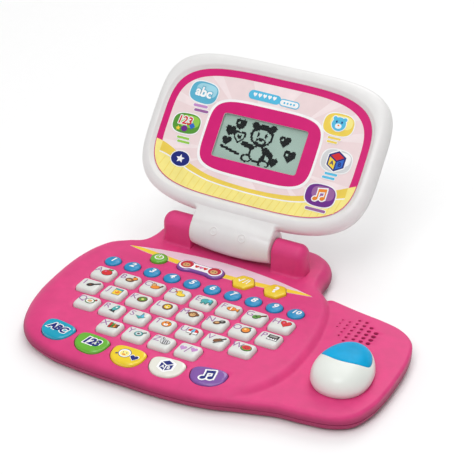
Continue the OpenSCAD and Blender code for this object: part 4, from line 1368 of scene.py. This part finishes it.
def face_badges_left(art):
    badge(art, -64.4, 32, 13.2, 9.4, "aqua", "mist", 6, -0.08)
    art.write("abc", -64.4, 32, 11.5, "aqua", 9, 0.1, 0.0, -0.06)
    art.write("abc", -64.4, 32, 11.5, "white", 10, 0.035, 0.0, -0.06)
    badge(art, -71.2, 2.3, 13.0, 8.9, "leaf", "lime", 6, 0.03)
    art.write("123", -73.6, 4.4, 9.6, "white", 9, 0.1, 0.1)
    art.write("123", -73.6, 4.4, 9.6, "red", 10, 0.025, 0.1)
    art.draw(marks("star -6.4 -5.4 2.6 2.4 yellow 0.2; oval -0.6 -4.7 3 2.7 violet; "
                   "bar 5.9 -1.2 2.1 2.1 blue 0.7"), -71.2, 2.3, 1, 11)
    star_badge = "oval 0 0 9.7 7.3 white -0.05; oval 0 0 8.9 6.5 navy -0.05; star 0 0 4.2 3.9 white"
    art.draw(marks(star_badge), -66.4, -28.7, 1, 6)


def face_badges_right(art):
    badge(art, 63.2, 30.9, 13.4, 9.4, "gold", "lemon", 6)
    art.draw(marks("oval -4.6 4.6 2.4 2.3 white; oval 4.6 4.6 2.4 2.3 white; oval 0 0 6.9 6.6 white; "
                   "oval -4.4 4.4 1.8 1.7 sky; oval 4.4 4.4 1.8 1.7 sky; oval 0 0 6.2 5.9 sky; "
                   "oval 0 -1.8 2.9 2.2 white; oval 0 -1.2 0.9 0.7 orange; oval -2.4 1.7 0.7 1 navy; "
                   "oval 2.4 1.7 0.7 1 navy"), 63.2, 31.4, 1, 9)
    badge(art, 71, 0.7, 13.2, 9.6, "silver", "white", 6)
    block(art, 71, 0.7, 8.2, ("navy", "red", "yellow", "blue"), 9)
    art.write("A", 67.6, -1.6, 5.0, "navy", 12, 0.03)
    art.write("B", 74.5, -1.6, 5.0, "navy", 12, 0.03)
    badge(art, 66.6, -30.2, 13.2, 9.3, "violet", "lilac", 6)
    note(art, 65.8, -30.4, 1.35, 9, (0.75, "white"), (0.0, "orange"))


def face_bars(art):
    """Plain bars under the badges, and a title strip of hearts and dots."""
    bars = [
        (-63.6, 20.0, 7.4, 1.7, "plum"), (-61.6, 15.9, 7.4, 1.7, "lilac"),
        (-70.0, -10.6, 6.6, 1.5, "lime"), (-68.6, -14.0, 6.6, 1.5, "lime"),
        (63.0, 18.9, 6.4, 1.4, "gold"), (62.0, 15.5, 5.2, 1.4, "gold"),
        (69.8, -10.9, 6.2, 1.5, "sky"), (68.6, -14.3, 6.2, 1.5, "sky"), (66, -42.6, 9.6, 1.7, "lilac")]
    for x, y, a, b, ink in bars:
        art.fill(pill(x, y, a, b), "white", 6)
        art.fill(pill(x, y, a - 0.5, b - 0.5), ink, 7)
    art.fill(pill(-8.5, 39.8, 15.2, 4.0, -0.02), "sky", 6)
    art.draw([("heart", k * 4.6 - 18, 0, 1.7, 1.9, 0, "white") for k in range(5)], 0.3, 40.2, 1, 7)
    art.fill(pill(15.0, 38.6, 9.4, 3.2, -0.02), "sky", 7)
    art.fill(pill(15.0, 38.6, 8.5, 2.4, -0.02), "white", 8)
    art.draw([("oval", k * 3.0 - 4.5, 0, 0.9, 0.9, 0, "sky") for k in range(4)], 15.0, 38.6, 1, 9)


def print_face():
    """Everything printed on the lid's face plate, from the lowest ink up."""
    art = Art()
    for part in (face_rays, face_wave, face_frame, face_badges_left, face_badges_right, face_bars):
        part(art)
    art.piece("face_print", "lid", FACE_W, "printed_face", FACE_PLACE, step=0.04)


# ---------- light, floor and camera ----------
def area(name, place_m, aim, size, power):
    light = bpy.data.lights.new(name, "AREA")
    light.size = size
    light.energy = power
    o = bpy.data.objects.new(name, light)
    o.location = place_m
    o.rotation_euler = (Vector(aim) - Vector(place_m)).to_track_quat("-Z", "Y").to_euler()
    bpy.context.scene.collection.objects.link(o)


def build_stage():
    mesh = bpy.data.meshes.new("floor")
    mesh.from_pydata([(-6, -6, 0), (6, -6, 0), (6, 6, 0), (-6, 6, 0)], [], [(0, 1, 2, 3)])
    mesh.materials.append(plastic("floor_paper", (250, 250, 250), rough=0.9, vary=0.004, grain=0))
    floor = bpy.data.objects.new("floor", mesh)
    bpy.context.scene.collection.objects.link(floor)
    world = bpy.data.worlds.new("studio")
    world.use_nodes = True
    world.node_tree.nodes["Background"].inputs["Color"].default_value = (1, 1, 1, 1)
    world.node_tree.nodes["Background"].inputs["Strength"].default_value = 0.35
    bpy.context.scene.world = world
    area("overhead", (0.2, 0.1, 3.0), (0, 0, 0), 2.6, 37)
    area("front", (0.2, -2.0, 2.4), (0, 0, 0.08), 1.4, 31)
    area("back", (-0.3, 2.4, 2.2), (0, 0, 0.08), 1.6, 28)
    bpy.context.scene.view_settings.view_transform = "Standard"
    data = bpy.data.cameras.new("camera")
    data.lens = 114.6
    data.sensor_width = 36
    camera = bpy.data.objects.new("camera", data)
    camera.location = (0.4880, -0.8918, 0.6792)
    camera.rotation_euler = (math.radians(59.64), 0, math.radians(28.22))
    bpy.context.scene.collection.objects.link(camera)
    bpy.context.scene.camera = camera


build_base()
build_keys()
build_lid()
build_mouse()
finish_cad()
print_letter_keys()
print_number_keys()
print_console()
print_face()
screen_picture()
build_stage()
